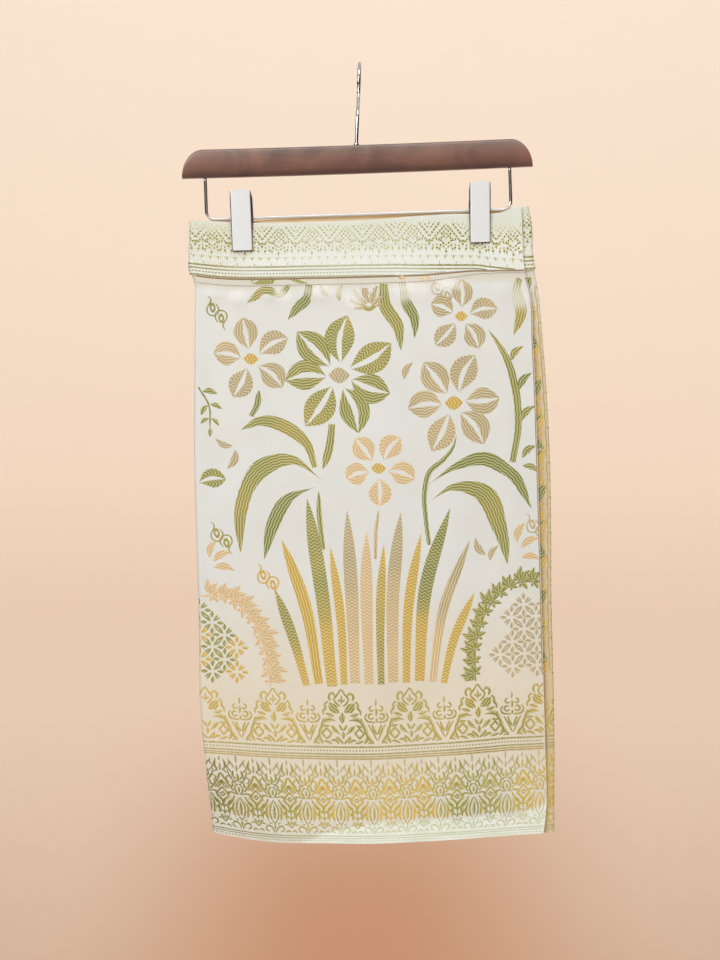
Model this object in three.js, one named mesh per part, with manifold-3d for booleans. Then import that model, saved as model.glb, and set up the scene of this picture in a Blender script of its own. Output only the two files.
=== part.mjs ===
// A sampin, the short brocade wrap sarong of Malay dress, clipped flat to a wooden hanger.
// Millimetres: +X to the right along the rail, +Y away from the viewer, +Z up.
// The origin is the inner top of the hook, where a rail carries it.

import * as THREE from 'three';
import { mergeVertices } from 'three/addons/utils/BufferGeometryUtils.js';
import Module from 'manifold-3d';

const wasm = await Module();
wasm.setup();

// Hanger. The bar and all it carries lean by barTilt, and the hook's stem leans the other way.
const barTilt = 1.99 * Math.PI / 180;
const barFoot = { x: -2.15, z: -110.35 };       // middle of the bar's lower edge
const bar = { length: 359.4, height: 29, depth: 13, endRun: 22, edge: 2.6 };
const hook = { wire: 3.5, innerRadius: 20, tipAngle: 191, leaveAngle: -60 };
const frame = { wire: 3, halfSpan: 156.2, drop: 41, bend: 9 };
const clip = {
  width: 21, top: 14.2, foot: 75.7, plate: 1, topOut: 9.6, padTop: 53, padIn: 1, padWall: 1.4,
  earRise: 13, earFall: 3, earDepth: 9, earTip: 2.4, springRadius: 2.9, springLength: 13,
  teeth: 7, toothWidth: 1.6, toothDrop: 0.9,
};
const clipPlaces = { left: -120.5, right: 124.8 };
const seam = 0.3;                               // between pieces that touch

// Cloth
const clothWall = 1;
const bandWall = 1.4;
const hemWall = 1.2;
const onPanel = clothWall / 2 + seam;           // where a layer on the panel begins
const underStep = clothWall + bandWall + 2 * seam;  // from the front's middle to the under wrap's
const underReach = 86;                          // from the right fold to the hidden end
const tuckDepth = 7.4;
const hemDepth = 22.5;
const backRise = 2;                             // the back's top edge stands above the front's

// How far each woven line lies below the bar, at places across the cloth.
const lines = [
  { across: -176, waist: 43.6, bandFoot: 98.0, fieldFoot: 518.6, stripes: 577.6, hem: 669.5 },
  { across: -150, waist: 45.2, bandFoot: 102.0, fieldFoot: 519.8, stripes: 579.2, hem: 675.6 },
  { across: -121, waist: 47.6, bandFoot: 104.0, fieldFoot: 521.0, stripes: 581.2, hem: 680.6 },
  { across: -108, waist: 48.0, bandFoot: 104.2, fieldFoot: 521.5, stripes: 582.0, hem: 682.4 },
  { across: -60, waist: 46.0, bandFoot: 105.0, fieldFoot: 523.5, stripes: 585.2, hem: 685.2 },
  { across: 0, waist: 44.6, bandFoot: 106.0, fieldFoot: 526.0, stripes: 588.0, hem: 688.0 },
  { across: 60, waist: 43.7, bandFoot: 106.8, fieldFoot: 525.5, stripes: 587.2, hem: 687.4 },
  { across: 113.2, waist: 43.4, bandFoot: 104.0, fieldFoot: 524.5, stripes: 586.0, hem: 685.4 },
  { across: 114.4, waist: 46.8, bandFoot: 104.0, fieldFoot: 524.5, stripes: 586.0, hem: 685.4 },
  { across: 135.2, waist: 46.8, bandFoot: 104.6, fieldFoot: 524.1, stripes: 585.4, hem: 684.4 },
  { across: 136.4, waist: 43.4, bandFoot: 104.6, fieldFoot: 524.1, stripes: 585.4, hem: 684.4 },
  { across: 150, waist: 43.1, bandFoot: 105.0, fieldFoot: 524.0, stripes: 585.2, hem: 684.2 },
  { across: 160, waist: 40.4, bandFoot: 105.2, fieldFoot: 523.9, stripes: 585.0, hem: 684.0 },
  { across: 178, waist: 40.6, bandFoot: 105.3, fieldFoot: 523.7, stripes: 584.8, hem: 683.6 },
];
const lineNames = ['waist', 'bandFoot', 'fieldFoot', 'stripes', 'hem'];

// The tube's plan at heights below the bar: the two folds, the front's free edge, how far the
// front and back stand out, and half the depth at each fold.
const plan = [
  { drop: 40, left: -172.5, edge: 166.4, right: 172.6, front: 0.4, back: 0.4, foldL: 2.3, foldR: 3.0 },
  { drop: 60, left: -173.0, edge: 166.6, right: 175.3, front: 0.9, back: 0.7, foldL: 2.3, foldR: 3.0 },
  { drop: 98, left: -174.0, edge: 166.8, right: 176.4, front: 1.6, back: 1.2, foldL: 2.3, foldR: 3.0 },
  { drop: 110, left: -170.6, edge: 168.0, right: 178.6, front: 1.9, back: 1.5, foldL: 2.3, foldR: 3.0 },
  { drop: 124, left: -171.2, edge: 171.6, right: 180.6, front: 2.5, back: 2.0, foldL: 2.3, foldR: 3.1 },
  { drop: 185, left: -173.8, edge: 173.7, right: 184.5, front: 5.0, back: 4.2, foldL: 2.5, foldR: 3.3 },
  { drop: 285, left: -177.6, edge: 174.1, right: 187.4, front: 9.0, back: 7.4, foldL: 2.9, foldR: 3.7 },
  { drop: 365, left: -178.4, edge: 173.6, right: 186.4, front: 11.4, back: 9.0, foldL: 3.2, foldR: 3.9 },
  { drop: 450, left: -178.7, edge: 172.9, right: 183.8, front: 13.2, back: 10.4, foldL: 3.5, foldR: 4.1 },
  { drop: 545, left: -180.2, edge: 172.0, right: 183.0, front: 14.6, back: 11.6, foldL: 3.8, foldR: 4.2 },
  { drop: 600, left: -177.0, edge: 171.6, right: 181.8, front: 16.0, back: 12.8, foldL: 3.9, foldR: 4.3 },
  { drop: 660, left: -172.2, edge: 170.2, right: 179.4, front: 17.4, back: 13.8, foldL: 4.0, foldR: 4.4 },
  { drop: 690, left: -170.8, edge: 165.6, right: 178.4, front: 18.0, back: 14.2, foldL: 4.0, foldR: 4.4 },
];

const mix = (a, b, share) => a + (b - a) * share;

function readTable(table, key, at, column) {
  const last = table.length - 1;
  let row = 1;
  while (row < last && table[row][key] < at) row += 1;
  const [before, after] = [table[row - 1], table[row]];
  const share = THREE.MathUtils.clamp((at - before[key]) / (after[key] - before[key]), 0, 1);
  return mix(before[column], after[column], share);
}

// Level 0 is the waist, 1 the band's foot, 2 the field's foot, 3 the stripes and 4 the hem.
function dropAt(across, level) {
  const index = THREE.MathUtils.clamp(Math.floor(level), 0, lineNames.length - 2);
  const read = (name) => readTable(lines, 'across', across, name);
  return mix(read(lineNames[index]), read(lineNames[index + 1]), level - index);
}

function planAt(drop) {
  const row = {};
  for (const column of Object.keys(plan[0])) row[column] = readTable(plan, 'drop', drop, column);
  row.turnR = row.foldR - underStep / 2;        // the right fold ends on the under wrap
  row.from = row.left + clothWall / 2 + row.foldL;
  row.to = row.right - clothWall / 2 - row.turnR;
  return row;
}

// How far the cloth stands from the middle plane: nil bulge at the folds, most in the middle.
function standOut(row, x, bulge) {
  const share = THREE.MathUtils.clamp((x - row.from) / (row.to - row.from), 0, 1);
  return mix(row.foldL, row.foldR, share) + bulge * Math.sin(Math.PI * share);
}

// The wound sheet runs from its hidden end under the front, round the right fold, across the
// back, round the left fold and over the front to its free edge. share is 0 to 1 on a stretch.
const stretches = {
  under: (row, share) => {
    const x = mix(row.right - underReach, row.to, share);
    return [x, -standOut(row, x, row.front) + underStep];
  },
  rightFold: (row, share) => {
    const turn = Math.PI * (share - 0.5);
    return [row.to + row.turnR * Math.cos(turn), underStep / 2 + row.turnR * Math.sin(turn)];
  },
  back: (row, share) => {
    const x = mix(row.to, row.from, share);
    return [x, standOut(row, x, row.back)];
  },
  leftFold: (row, share) => {
    const turn = Math.PI * (share + 0.5);
    return [row.from + row.foldL * Math.cos(turn), row.foldL * Math.sin(turn)];
  },
  front: (row, share) => {
    const x = mix(row.from, row.edge, share);
    return [x, -standOut(row, x, row.front)];
  },
};

function clothPoint([stretch, share], level) {
  const nominal = planAt(dropAt(0, level));
  const [guess] = stretches[stretch](nominal, share);
  const row = planAt(dropAt(guess, level));
  const [x, y] = stretches[stretch](row, share);
  return new THREE.Vector3(x, y, -dropAt(x, level));
}

// Outward: down the cloth crossed with the way that it is wound.
function clothNormal([stretch, share], level) {
  const span = 0.01;
  const down = clothPoint([stretch, share], level + span).sub(clothPoint([stretch, share], level - span));
  const onward = clothPoint([stretch, share + span], level).sub(clothPoint([stretch, share - span], level));
  return down.cross(onward).normalize();
}

const steps = (from, to, count) => Array.from({ length: count + 1 }, (_, i) => mix(from, to, i / count));
const along = (stretch, from, to, count) => steps(from, to, count).map((share) => [stretch, share]);

function geometryOf(vertices, indices) {
  const geometry = new THREE.BufferGeometry();
  const numbers = vertices.flatMap((vertex) => vertex.toArray());
  geometry.setAttribute('position', new THREE.Float32BufferAttribute(numbers, 3));
  geometry.setIndex(indices);
  geometry.computeVertexNormals();
  return geometry;
}

// A closed wall. Rows go down the cloth and columns along it, and both faces lie off its middle
// along the normal, the near one at outFrom and the far one at outTo.
function wallGeometry(levels, stations, outFrom, outTo) {
  const rows = levels.length;
  const columns = stations.length;
  const face = (i, j, out) => clothNormal(stations[j], levels[i]).multiplyScalar(out)
    .add(clothPoint(stations[j], levels[i]));
  const vertices = [];
  for (const out of [outTo, outFrom]) {
    for (let i = 0; i < rows; i += 1) {
      for (let j = 0; j < columns; j += 1) vertices.push(face(i, j, out));
    }
  }
  const indices = [];
  const outer = (i, j) => i * columns + j;
  const inner = (i, j) => rows * columns + outer(i, j);
  const quad = (a, b, c, d) => indices.push(a, b, c, a, c, d);
  for (let i = 0; i + 1 < rows; i += 1) {
    for (let j = 0; j + 1 < columns; j += 1) {
      quad(outer(i, j), outer(i + 1, j), outer(i + 1, j + 1), outer(i, j + 1));
      quad(inner(i, j), inner(i, j + 1), inner(i + 1, j + 1), inner(i + 1, j));
    }
    quad(outer(i + 1, 0), outer(i, 0), inner(i, 0), inner(i + 1, 0));
    quad(outer(i, columns - 1), outer(i + 1, columns - 1), inner(i + 1, columns - 1), inner(i, columns - 1));
  }
  for (let j = 0; j + 1 < columns; j += 1) {
    quad(outer(0, j), outer(0, j + 1), inner(0, j + 1), inner(0, j));
    quad(outer(rows - 1, j + 1), outer(rows - 1, j), inner(rows - 1, j), inner(rows - 1, j + 1));
  }
  return geometryOf(vertices, indices);
}

// Stations of each stretch, closer together at the clips. A fold is parted at its middle by
// one seam's width.
const foldGap = 0.028;
const places = [-150, -132, -108, -80, -50, -20, 10, 40, 65, 90, 113.2, 114.4, 135.2, 136.4, 150, 160];

function across(stretch) {
  const [first, last] = [0, 1].map((share) => stretches[stretch](planAt(lines[0].waist), share)[0]);
  const shares = places.map((x) => (x - first) / (last - first)).filter((share) => share > 0 && share < 1);
  return [0, ...shares.sort((a, b) => a - b), 1].map((share) => [stretch, share]);
}

const foldSteps = 4;
const beforeGap = (fold) => along(fold, 0, 0.5 - foldGap, foldSteps);
const afterGap = (fold) => along(fold, 0.5 + foldGap, 1, foldSteps);
const backTurn = [...across('back'), ...beforeGap('leftFold').slice(1)];
const frontStations = [...afterGap('leftFold').slice(0, -1), ...across('front')];
const backStations = [...afterGap('rightFold').slice(0, -1), ...backTurn];
const underStations = [...across('under'), ...beforeGap('rightFold').slice(1)];
const wholeTurn = along('rightFold', 0, 1, 2 * foldSteps).slice(1, -1);
const backBandStations = [...across('under'), ...wholeTurn, ...backTurn];

// Lengths down the middle of the cloth, which turn millimetres into shares of a level.
const lengthOf = (level) => dropAt(0, level + 1) - dropAt(0, level);
const onBand = (length) => length / lengthOf(0);
const hemTop = 4 - hemDepth / lengthOf(3);
const hemSeam = seam / 2 / lengthOf(3);
const tuckFoot = 1 + tuckDepth / lengthOf(1);
const tuckTop = 1 + seam / lengthOf(1);
const panelLevels = [0.5, 1, tuckFoot, 1.05, 1.19, 1.4, 1.62, 1.83, 2.1, 2.6, 3.2, hemTop - hemSeam];

function clothPieces() {
  const panel = (topEdge, stations) => wallGeometry(
    [onBand(topEdge), ...panelLevels], stations, -clothWall / 2, clothWall / 2);
  const band = (stations) => wallGeometry([0, 0.5, 1], stations, onPanel, onPanel + bandWall);
  const hem = (stations) => wallGeometry([hemTop + hemSeam, 4], stations, -hemWall / 2, hemWall / 2);
  return {
    front_panel: panel(seam, frontStations),
    back_panel: panel(seam - backRise, backStations),
    under_wrap: panel(seam, underStations),
    waistband_front: band(frontStations),
    waistband_back: band(backBandStations),
    tuck_strip: wallGeometry([tuckTop, tuckFoot], frontStations.slice(2), onPanel, onPanel + clothWall),
    hem_front: hem(frontStations),
    hem_back: hem(backStations),
    hem_under: hem(underStations),
  };
}

function wireGeometry(path, wire, segments) {
  const section = new THREE.Shape().absarc(0, 0, wire / 2, 0, 2 * Math.PI);
  return new THREE.ExtrudeGeometry(section, {
    extrudePath: path, steps: segments, curveSegments: 5, bevelEnabled: false,
  });
}

// An arc in a plane across or along the bar, as points. place turns (a, b) into a position.
function arcPoints(centre, radius, fromDegrees, toDegrees, count, place) {
  return steps(fromDegrees, toDegrees, count).map((degrees) => {
    const angle = THREE.MathUtils.degToRad(degrees);
    return place(centre[0] + radius * Math.cos(angle), centre[1] + radius * Math.sin(angle));
  });
}

function polyline(points) {
  const path = new THREE.CurvePath();
  for (let i = 1; i < points.length; i += 1) path.add(new THREE.LineCurve3(points[i - 1], points[i]));
  return path;
}

// The hook curls over the rail from the back to the front, in a plane across the bar.
function hookGeometry(stemLength) {
  const radius = hook.innerRadius + hook.wire / 2;
  const place = (y, z) => new THREE.Vector3(0, y, z);
  const leave = THREE.MathUtils.degToRad(hook.leaveAngle);
  const leaveAt = [radius * Math.cos(leave), -hook.innerRadius + radius * Math.sin(leave)];
  const backBend = leaveAt[0] / (1 - Math.cos(leave));
  const bendFoot = leaveAt[1] + backBend * Math.sin(leave);
  const points = [
    ...arcPoints([0, -hook.innerRadius], radius, hook.tipAngle, hook.leaveAngle, 28, place),
    ...arcPoints([backBend, bendFoot], backBend, 180 + hook.leaveAngle, 180, 6, place).slice(1),
    place(0, -stemLength),
  ];
  return wireGeometry(polyline(points), hook.wire, 60);
}

// The bent wire below the bar: two legs and the run that carries the clips.
function frameGeometry() {
  const place = (x, z) => new THREE.Vector3(x, 0, z);
  const { halfSpan, drop, bend } = frame;
  const points = [
    place(-halfSpan, -seam),
    ...arcPoints([-halfSpan + bend, -drop + bend], bend, 180, 270, 6, place),
    ...arcPoints([halfSpan - bend, -drop + bend], bend, 270, 360, 6, place),
    place(halfSpan, -seam),
  ];
  return wireGeometry(polyline(points), frame.wire, 96);
}

// Flat below, with quarter-ellipse ends that run down to sharp lower corners.
function barGeometry() {
  const half = bar.length / 2;
  const outline = new THREE.Shape();
  outline.moveTo(-half, 0);
  outline.lineTo(half, 0);
  outline.absellipse(half - bar.endRun, 0, bar.endRun, bar.height, 0, Math.PI / 2);
  outline.absellipse(-half + bar.endRun, 0, bar.endRun, bar.height, Math.PI / 2, Math.PI);
  const geometry = new THREE.ExtrudeGeometry(outline, {
    depth: bar.depth - 2 * bar.edge, curveSegments: 8, bevelSize: bar.edge, bevelThickness: bar.edge,
    bevelOffset: -bar.edge, bevelSegments: 2,
  });
  return geometry.rotateX(Math.PI / 2).translate(0, bar.depth / 2 - bar.edge, 0);
}

// A side view in (y, z), pulled through x from one face to the other.
function pulledSide(outline, fromX, toX) {
  const shape = new THREE.Shape(outline.map(([y, z]) => new THREE.Vector2(y, z)));
  const geometry = new THREE.ExtrudeGeometry(shape, { depth: toX - fromX, bevelEnabled: false });
  return geometry.applyMatrix4(new THREE.Matrix4().set(0, 0, 1, fromX, 1, 0, 0, 0, 0, 1, 0, 0, 0, 0, 0, 1));
}

function solidOf(geometry) {
  const bare = geometry.clone();
  bare.deleteAttribute('normal');
  bare.deleteAttribute('uv');
  const merged = mergeVertices(bare, 1e-4);
  return new wasm.Manifold(new wasm.Mesh({
    numProp: 3,
    vertProperties: merged.attributes.position.array,
    triVerts: new Uint32Array(merged.index.array),
  }));
}

function geometryFrom(solid) {
  const { vertProperties, triVerts } = solid.getMesh();
  const geometry = new THREE.BufferGeometry();
  geometry.setAttribute('position', new THREE.BufferAttribute(vertProperties, 3));
  geometry.setIndex(new THREE.BufferAttribute(triVerts, 1));
  geometry.computeVertexNormals();
  return geometry;
}

// Where a plate's inner face stands at a height, for a jaw that closes on the cloth at grip.
function plateFaceAt(drop, grip) {
  return mix(clip.topOut, grip + clip.padWall + seam, (drop - clip.top) / (clip.foot - clip.top));
}

// One pressed plate with an ear at each side, bored for the wire. side is -1 in front.
function plateGeometry(side, grip, earInset) {
  const face = (drop) => side * plateFaceAt(drop, grip);
  const back = (drop) => side * (plateFaceAt(drop, grip) + clip.plate);
  const sheet = pulledSide([
    [face(clip.top), -clip.top], [face(clip.foot), -clip.foot],
    [back(clip.foot), -clip.foot], [back(clip.top), -clip.top],
  ], -clip.width / 2, clip.width / 2);
  const earTop = frame.drop - clip.earRise;
  const earFoot = frame.drop + clip.earFall;
  const reach = face(frame.drop) - side * clip.earDepth;
  const ear = (x) => pulledSide([
    [side * (plateFaceAt(earTop, grip) + clip.plate / 2), -earTop],
    [side * (plateFaceAt(earFoot, grip) + clip.plate / 2), -earFoot],
    [reach, -frame.drop - clip.earTip], [reach, -frame.drop + clip.earTip],
  ], x, x + clip.plate);
  const bore = new THREE.CylinderGeometry(frame.wire / 2 + seam, frame.wire / 2 + seam, clip.width + 4, 16)
    .rotateZ(Math.PI / 2).translate(0, 0, -frame.drop);
  const outer = clip.width / 2 - earInset;
  const pressed = solidOf(sheet).add(solidOf(ear(-outer))).add(solidOf(ear(outer - clip.plate)));
  return geometryFrom(pressed.subtract(solidOf(bore)));
}

// The pad that bites the cloth, with a row of short teeth below the plate's foot.
function padGeometry(side, grip) {
  const half = clip.width / 2 - clip.padIn;
  const at = (drop) => side * (plateFaceAt(drop, grip) - seam);
  const block = pulledSide([
    [side * grip, -clip.padTop], [side * grip, -clip.foot],
    [at(clip.foot), -clip.foot], [at(clip.padTop), -clip.padTop],
  ], -half, half);
  let pad = solidOf(block);
  for (const x of steps(-half, half - clip.toothWidth, clip.teeth - 1)) {
    const tooth = new THREE.BoxGeometry(clip.toothWidth, 0.8 * clip.padWall, 2 * clip.toothDrop)
      .translate(x + clip.toothWidth / 2, side * (grip + clip.padWall / 2), -clip.foot);
    pad = pad.add(solidOf(tooth));
  }
  return geometryFrom(pad);
}

function springGeometry() {
  const inner = frame.wire / 2 + seam;
  const half = clip.springLength / 2;
  const outer = clip.springRadius;
  const profile = [[inner, -half], [outer, -half], [outer, half], [inner, half], [inner, -half]];
  return new THREE.LatheGeometry(profile.map(([r, y]) => new THREE.Vector2(r, y)), 16)
    .rotateZ(Math.PI / 2).translate(0, 0, -frame.drop);
}

// Half the opening of a jaw: how far the panel stands out at its foot, and the band on it.
function gripAt(place) {
  const row = planAt(clip.foot);
  return standOut(row, place, row.front) + onPanel + bandWall + seam;
}

const materials = {
  satin: { color: 0xe2dccf, roughness: 0.45, metalness: 0 },
  border: { color: 0xcfcf9e, roughness: 0.5, metalness: 0 },
  walnut: { color: 0x5f3d33, roughness: 0.35, metalness: 0 },
  chrome: { color: 0xd6d6d8, roughness: 0.12, metalness: 1 },
  satinSteel: { color: 0xe6e6e4, roughness: 0.35, metalness: 0.8 },
  darkPad: { color: 0x3b2722, roughness: 0.6, metalness: 0 },
};

function addMesh(group, name, geometry, material) {
  const mesh = new THREE.Mesh(geometry, new THREE.MeshStandardMaterial(materials[material]));
  mesh.name = name;
  group.add(mesh);
}

function addCloth(group) {
  const borders = ['waistband_front', 'waistband_back', 'hem_front', 'hem_back', 'hem_under'];
  for (const [name, geometry] of Object.entries(clothPieces())) {
    addMesh(group, name, geometry, borders.includes(name) ? 'border' : 'satin');
  }
}

function addClip(group, name, place) {
  const holder = new THREE.Group();
  holder.position.x = place;
  const grip = gripAt(place);
  addMesh(holder, `clip_${name}_front_plate`, plateGeometry(-1, grip, 0), 'satinSteel');
  addMesh(holder, `clip_${name}_back_plate`, plateGeometry(1, grip, clip.plate + seam), 'satinSteel');
  addMesh(holder, `clip_${name}_front_pad`, padGeometry(-1, grip), 'darkPad');
  addMesh(holder, `clip_${name}_back_pad`, padGeometry(1, grip), 'darkPad');
  addMesh(holder, `clip_${name}_spring`, springGeometry(), 'chrome');
  group.add(holder);
}

const part = new THREE.Group();

const hanging = new THREE.Group();
hanging.position.set(barFoot.x, 0, barFoot.z);
hanging.rotation.y = -barTilt;
part.add(hanging);
addMesh(hanging, 'hanger_bar', barGeometry(), 'walnut');
addMesh(hanging, 'wire_frame', frameGeometry(), 'chrome');
for (const [name, place] of Object.entries(clipPlaces)) addClip(hanging, name, place);
addCloth(hanging);

const barTop = new THREE.Vector3(0, 0, bar.height).applyEuler(hanging.rotation).add(hanging.position);
const stem = new THREE.Group();
stem.rotation.y = Math.atan2(-barTop.x, -barTop.z);
part.add(stem);
addMesh(stem, 'hook', hookGeometry(barTop.length() - seam), 'chrome');

export default part;
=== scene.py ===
# A sampin, the short brocade wrap sarong of Malay dress, clipped flat below a wooden hanger.
# Sizes are in millimetres and turn into metres when a mesh is made. +X is to the viewer's right,
# +Y away from the viewer and +Z up, and the origin is the inner top of the hook.

import bpy
from functools import partial
import numpy as np
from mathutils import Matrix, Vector


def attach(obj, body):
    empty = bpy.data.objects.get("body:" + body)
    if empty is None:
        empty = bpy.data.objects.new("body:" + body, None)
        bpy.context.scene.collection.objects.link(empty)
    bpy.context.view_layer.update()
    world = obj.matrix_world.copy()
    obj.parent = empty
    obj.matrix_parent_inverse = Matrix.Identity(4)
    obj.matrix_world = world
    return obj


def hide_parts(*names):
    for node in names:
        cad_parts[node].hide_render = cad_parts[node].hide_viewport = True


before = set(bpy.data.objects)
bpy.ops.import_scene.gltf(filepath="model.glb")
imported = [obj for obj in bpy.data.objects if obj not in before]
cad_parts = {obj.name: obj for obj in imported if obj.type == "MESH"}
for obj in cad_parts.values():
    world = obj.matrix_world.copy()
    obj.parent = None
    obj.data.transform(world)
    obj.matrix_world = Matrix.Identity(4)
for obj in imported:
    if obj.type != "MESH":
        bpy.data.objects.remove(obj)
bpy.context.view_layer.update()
print("frame loaded")

millimetre = 0.001
tau = 2 * np.pi


def mix(a, b, share):
    return a + (b - a) * share


def smoothStep(low, high, value):
    # 0 below low, 1 above high, and 3t^2 - 2t^3 in between
    t = np.clip((value - low) / (high - low), 0, 1)
    return t * t * (3 - 2 * t)


def hump(middle, reach, value):
    # 1 at the middle, fading to nothing as a bell curve of that reach
    return np.exp(-((value - middle) / reach) ** 2)


def smoothRead(at, known, values):
    # a cubic through the rows of a table, with each row's slope the mean of its neighbours'
    slopes = np.gradient(values, known)
    i = np.clip(np.searchsorted(known, at) - 1, 0, len(known) - 2)
    span = known[i + 1] - known[i]
    t = np.clip((at - known[i]) / span, 0, 1)
    rise = values[i + 1] - values[i]
    bend = t * (1 - t) * ((1 - t) * (slopes[i] * span - rise) - t * (slopes[i + 1] * span - rise))
    return values[i] + t * rise + bend


def makePiece(name, points, faces, material, uv=None, weft=None, rim=None):
    # points in millimetres of the frame; uv, weft and rim have one row for each point
    mesh = bpy.data.meshes.new(name)
    mesh.from_pydata((points * millimetre).tolist(), [], faces)
    mesh.shade_smooth()
    corners = np.zeros(len(mesh.loops), np.int32)
    mesh.loops.foreach_get("vertex_index", corners)
    if uv is not None:
        layer = mesh.uv_layers.new(name="clothMap")
        layer.data.foreach_set("uv", uv[corners].astype(np.float32).ravel())
    if weft is not None:
        attribute = mesh.color_attributes.new("weft", "FLOAT_COLOR", "POINT")
        attribute.data.foreach_set("color", weft.astype(np.float32).ravel())
    if rim is not None:
        mesh.attributes.new("rim", "FLOAT", "POINT").data.foreach_set("value", rim.astype(np.float32))
    mesh.materials.append(material)
    piece = bpy.data.objects.new(name, mesh)
    bpy.context.scene.collection.objects.link(piece)
    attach(piece, "root")
    return piece


def dress(name, points, faces, material, node):
    # a piece that takes the place of one solid
    piece = makePiece(name, points, faces, material)
    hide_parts(node)
    return piece


def gridFaces(rows, columns, firstPoint=0, closedRound=False):
    # quads between neighbours of a grid whose columns run fastest
    i, j = np.meshgrid(np.arange(rows - 1), np.arange(columns - (0 if closedRound else 1)), indexing="ij")
    onward = (j + 1) % columns
    corner = [i * columns + j, (i + 1) * columns + j, (i + 1) * columns + onward, i * columns + onward]
    return (np.stack(corner, -1).reshape(-1, 4) + firstPoint).tolist()


def ringSurface(rings):
    # rings[i, j] is the j-th point of the i-th closed ring, and both ends are closed with one face
    rows, columns = rings.shape[:2]
    faces = gridFaces(rows, columns, closedRound=True)
    faces.append(list(range(columns)))
    faces.append(list(range((rows - 1) * columns, rows * columns))[::-1])
    return rings.reshape(-1, 3), faces


def joinParts(parts):
    # several (points, faces) as one
    points = np.concatenate([p for p, _ in parts])
    starts = np.cumsum([0] + [len(p) for p, _ in parts[:-1]])
    faces = [[corner + int(start) for corner in face]
             for start, (_, shape) in zip(starts, parts) for face in shape]
    return points, faces


# Materials

def newMaterial(name):
    material = bpy.data.materials.new(name)
    material.use_nodes = True
    return material, material.node_tree


def setSockets(tree, node, values):
    # values are keyed by a socket's name or number: an output is linked, anything else is set
    for key, value in values.items():
        if isinstance(value, bpy.types.NodeSocket):
            tree.links.new(value, node.inputs[key])
        else:
            node.inputs[key].default_value = value


def addNode(tree, kind, sockets=(), **settings):
    node = tree.nodes.new("ShaderNode" + kind)
    for key, value in settings.items():
        setattr(node, key, value)
    setSockets(tree, node, dict(sockets))
    return node


def finishShader(tree, values):
    setSockets(tree, tree.nodes["Principled BSDF"], values)


def calculate(tree, kind, a, b=0.0, c=0.0):
    return addNode(tree, "Math", {0: a, 1: b, 2: c}, operation=kind).outputs[0]


def between(tree, value, low, high, start=0.0, end=1.0, kind="SMOOTHSTEP"):
    # start where the value is low and end where it is high, and smooth on the way
    sockets = {"Value": value, "From Min": low, "From Max": high, "To Min": start, "To Max": end}
    return addNode(tree, "MapRange", sockets, interpolation_type=kind).outputs[0]


def mixed(tree, share, under, over, blend="MIX"):
    sockets = {"Factor": share, 6: under, 7: over}
    return addNode(tree, "Mix", sockets, data_type="RGBA", blend_type=blend).outputs[2]


def noiseOf(tree, place, stretch, detail, distortion=0.0, dimensions="3D"):
    # stretch is how many clouds there are in one unit of the place, along each axis
    vector = addNode(tree, "VectorMath", {0: place, 1: stretch}, operation="MULTIPLY").outputs[0]
    sockets = {"Vector": vector, "Scale": 1.0, "Detail": detail, "Distortion": distortion}
    return addNode(tree, "TexNoise", sockets, noise_dimensions=dimensions).outputs["Fac"]


def bumpOf(tree, height, distance, strength=1.0):
    sockets = {"Height": height, "Distance": distance, "Strength": strength}
    return addNode(tree, "Bump", sockets)


def rampOf(tree, value, stops):
    ramp = addNode(tree, "ValToRGB", {0: value})
    elements = ramp.color_ramp.elements
    while len(elements) < len(stops):
        elements.new(0.5)
    for element, (position, colour) in zip(elements, stops):
        element.position = position
        element.color = colour
    return ramp.outputs["Color"]


def clothPlace(tree):
    # along the cloth and down it, in millimetres
    return addNode(tree, "UVMap", uv_map="clothMap").outputs["UV"]


def objectPlace(tree):
    return addNode(tree, "TexCoord").outputs["Object"]


def attributeOf(tree, name):
    return addNode(tree, "Attribute", attribute_name=name).outputs["Fac"]


def rgb(red, green, blue):
    # a colour as it shows on a screen, 0 to 255, made linear
    share = np.array([red, green, blue]) / 255
    linear = np.where(share <= 0.04045, share / 12.92, ((share + 0.055) / 1.055) ** 2.4)
    return (*linear.tolist(), 1.0)


groundLook = {
    "cream": rgb(233, 234, 231), "shade": rgb(229, 229, 223),
    "lowCream": rgb(238, 228, 209), "lowShade": rgb(233, 222, 200),
    "mint": rgb(243, 248, 245), "mintShade": rgb(236, 242, 233),
    # the hem's two colours are a painted highlight, the pale glare along the hem
    "hem": rgb(252, 255, 247), "hemShade": rgb(238, 243, 222),
    # glare is a painted highlight for the gleams under the waistband, tucked a painted shade under it
    "glare": rgb(254, 254, 252), "tucked": rgb(221, 212, 192),
    # side is partly thread floats and partly painted shade, the colour after it a painted shadow next to
    # the free edge
    "side": rgb(230, 200, 138), "sideEdgeShadow": rgb(172, 130, 84),
    "speck": rgb(222, 206, 156), "speckGold": rgb(196, 164, 84), "dash": rgb(182, 188, 144),
    "roughness": 0.34, "sheen": 0.1, "sheenRoughness": 0.4,
    "threadPitch": 0.9, "threadHeight": 0.03, "slubHeight": 0.06, "dashPitch": 2.7,
    "hemRise": 27, "hemEdgeRise": 13, "hemRagged": 12.0,
}
# Where each change of the ground begins and ends, along the cloth (X) or down it (Y).
groundZones = {
    "warmY": (380, 560), "warmEndY": (640, 596), "underBandShadeY": (124, 112), "riseX": (50, 165),
    "edgeRiseX": (315, 352), "hemY": (695, 700), "sideX": (-352, -362), "sideY": (112, 190),
    "sideEdgeShadowX": (-363, -372), "dashesY": (47, 54), "dashesEndY": (90, 70), "specksY": (606, 650),
    "specksEndY": (659, 668), "specksX": (120, 20), "specksBackX": (-160, -20), "goldX": (110, -10),
}


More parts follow.
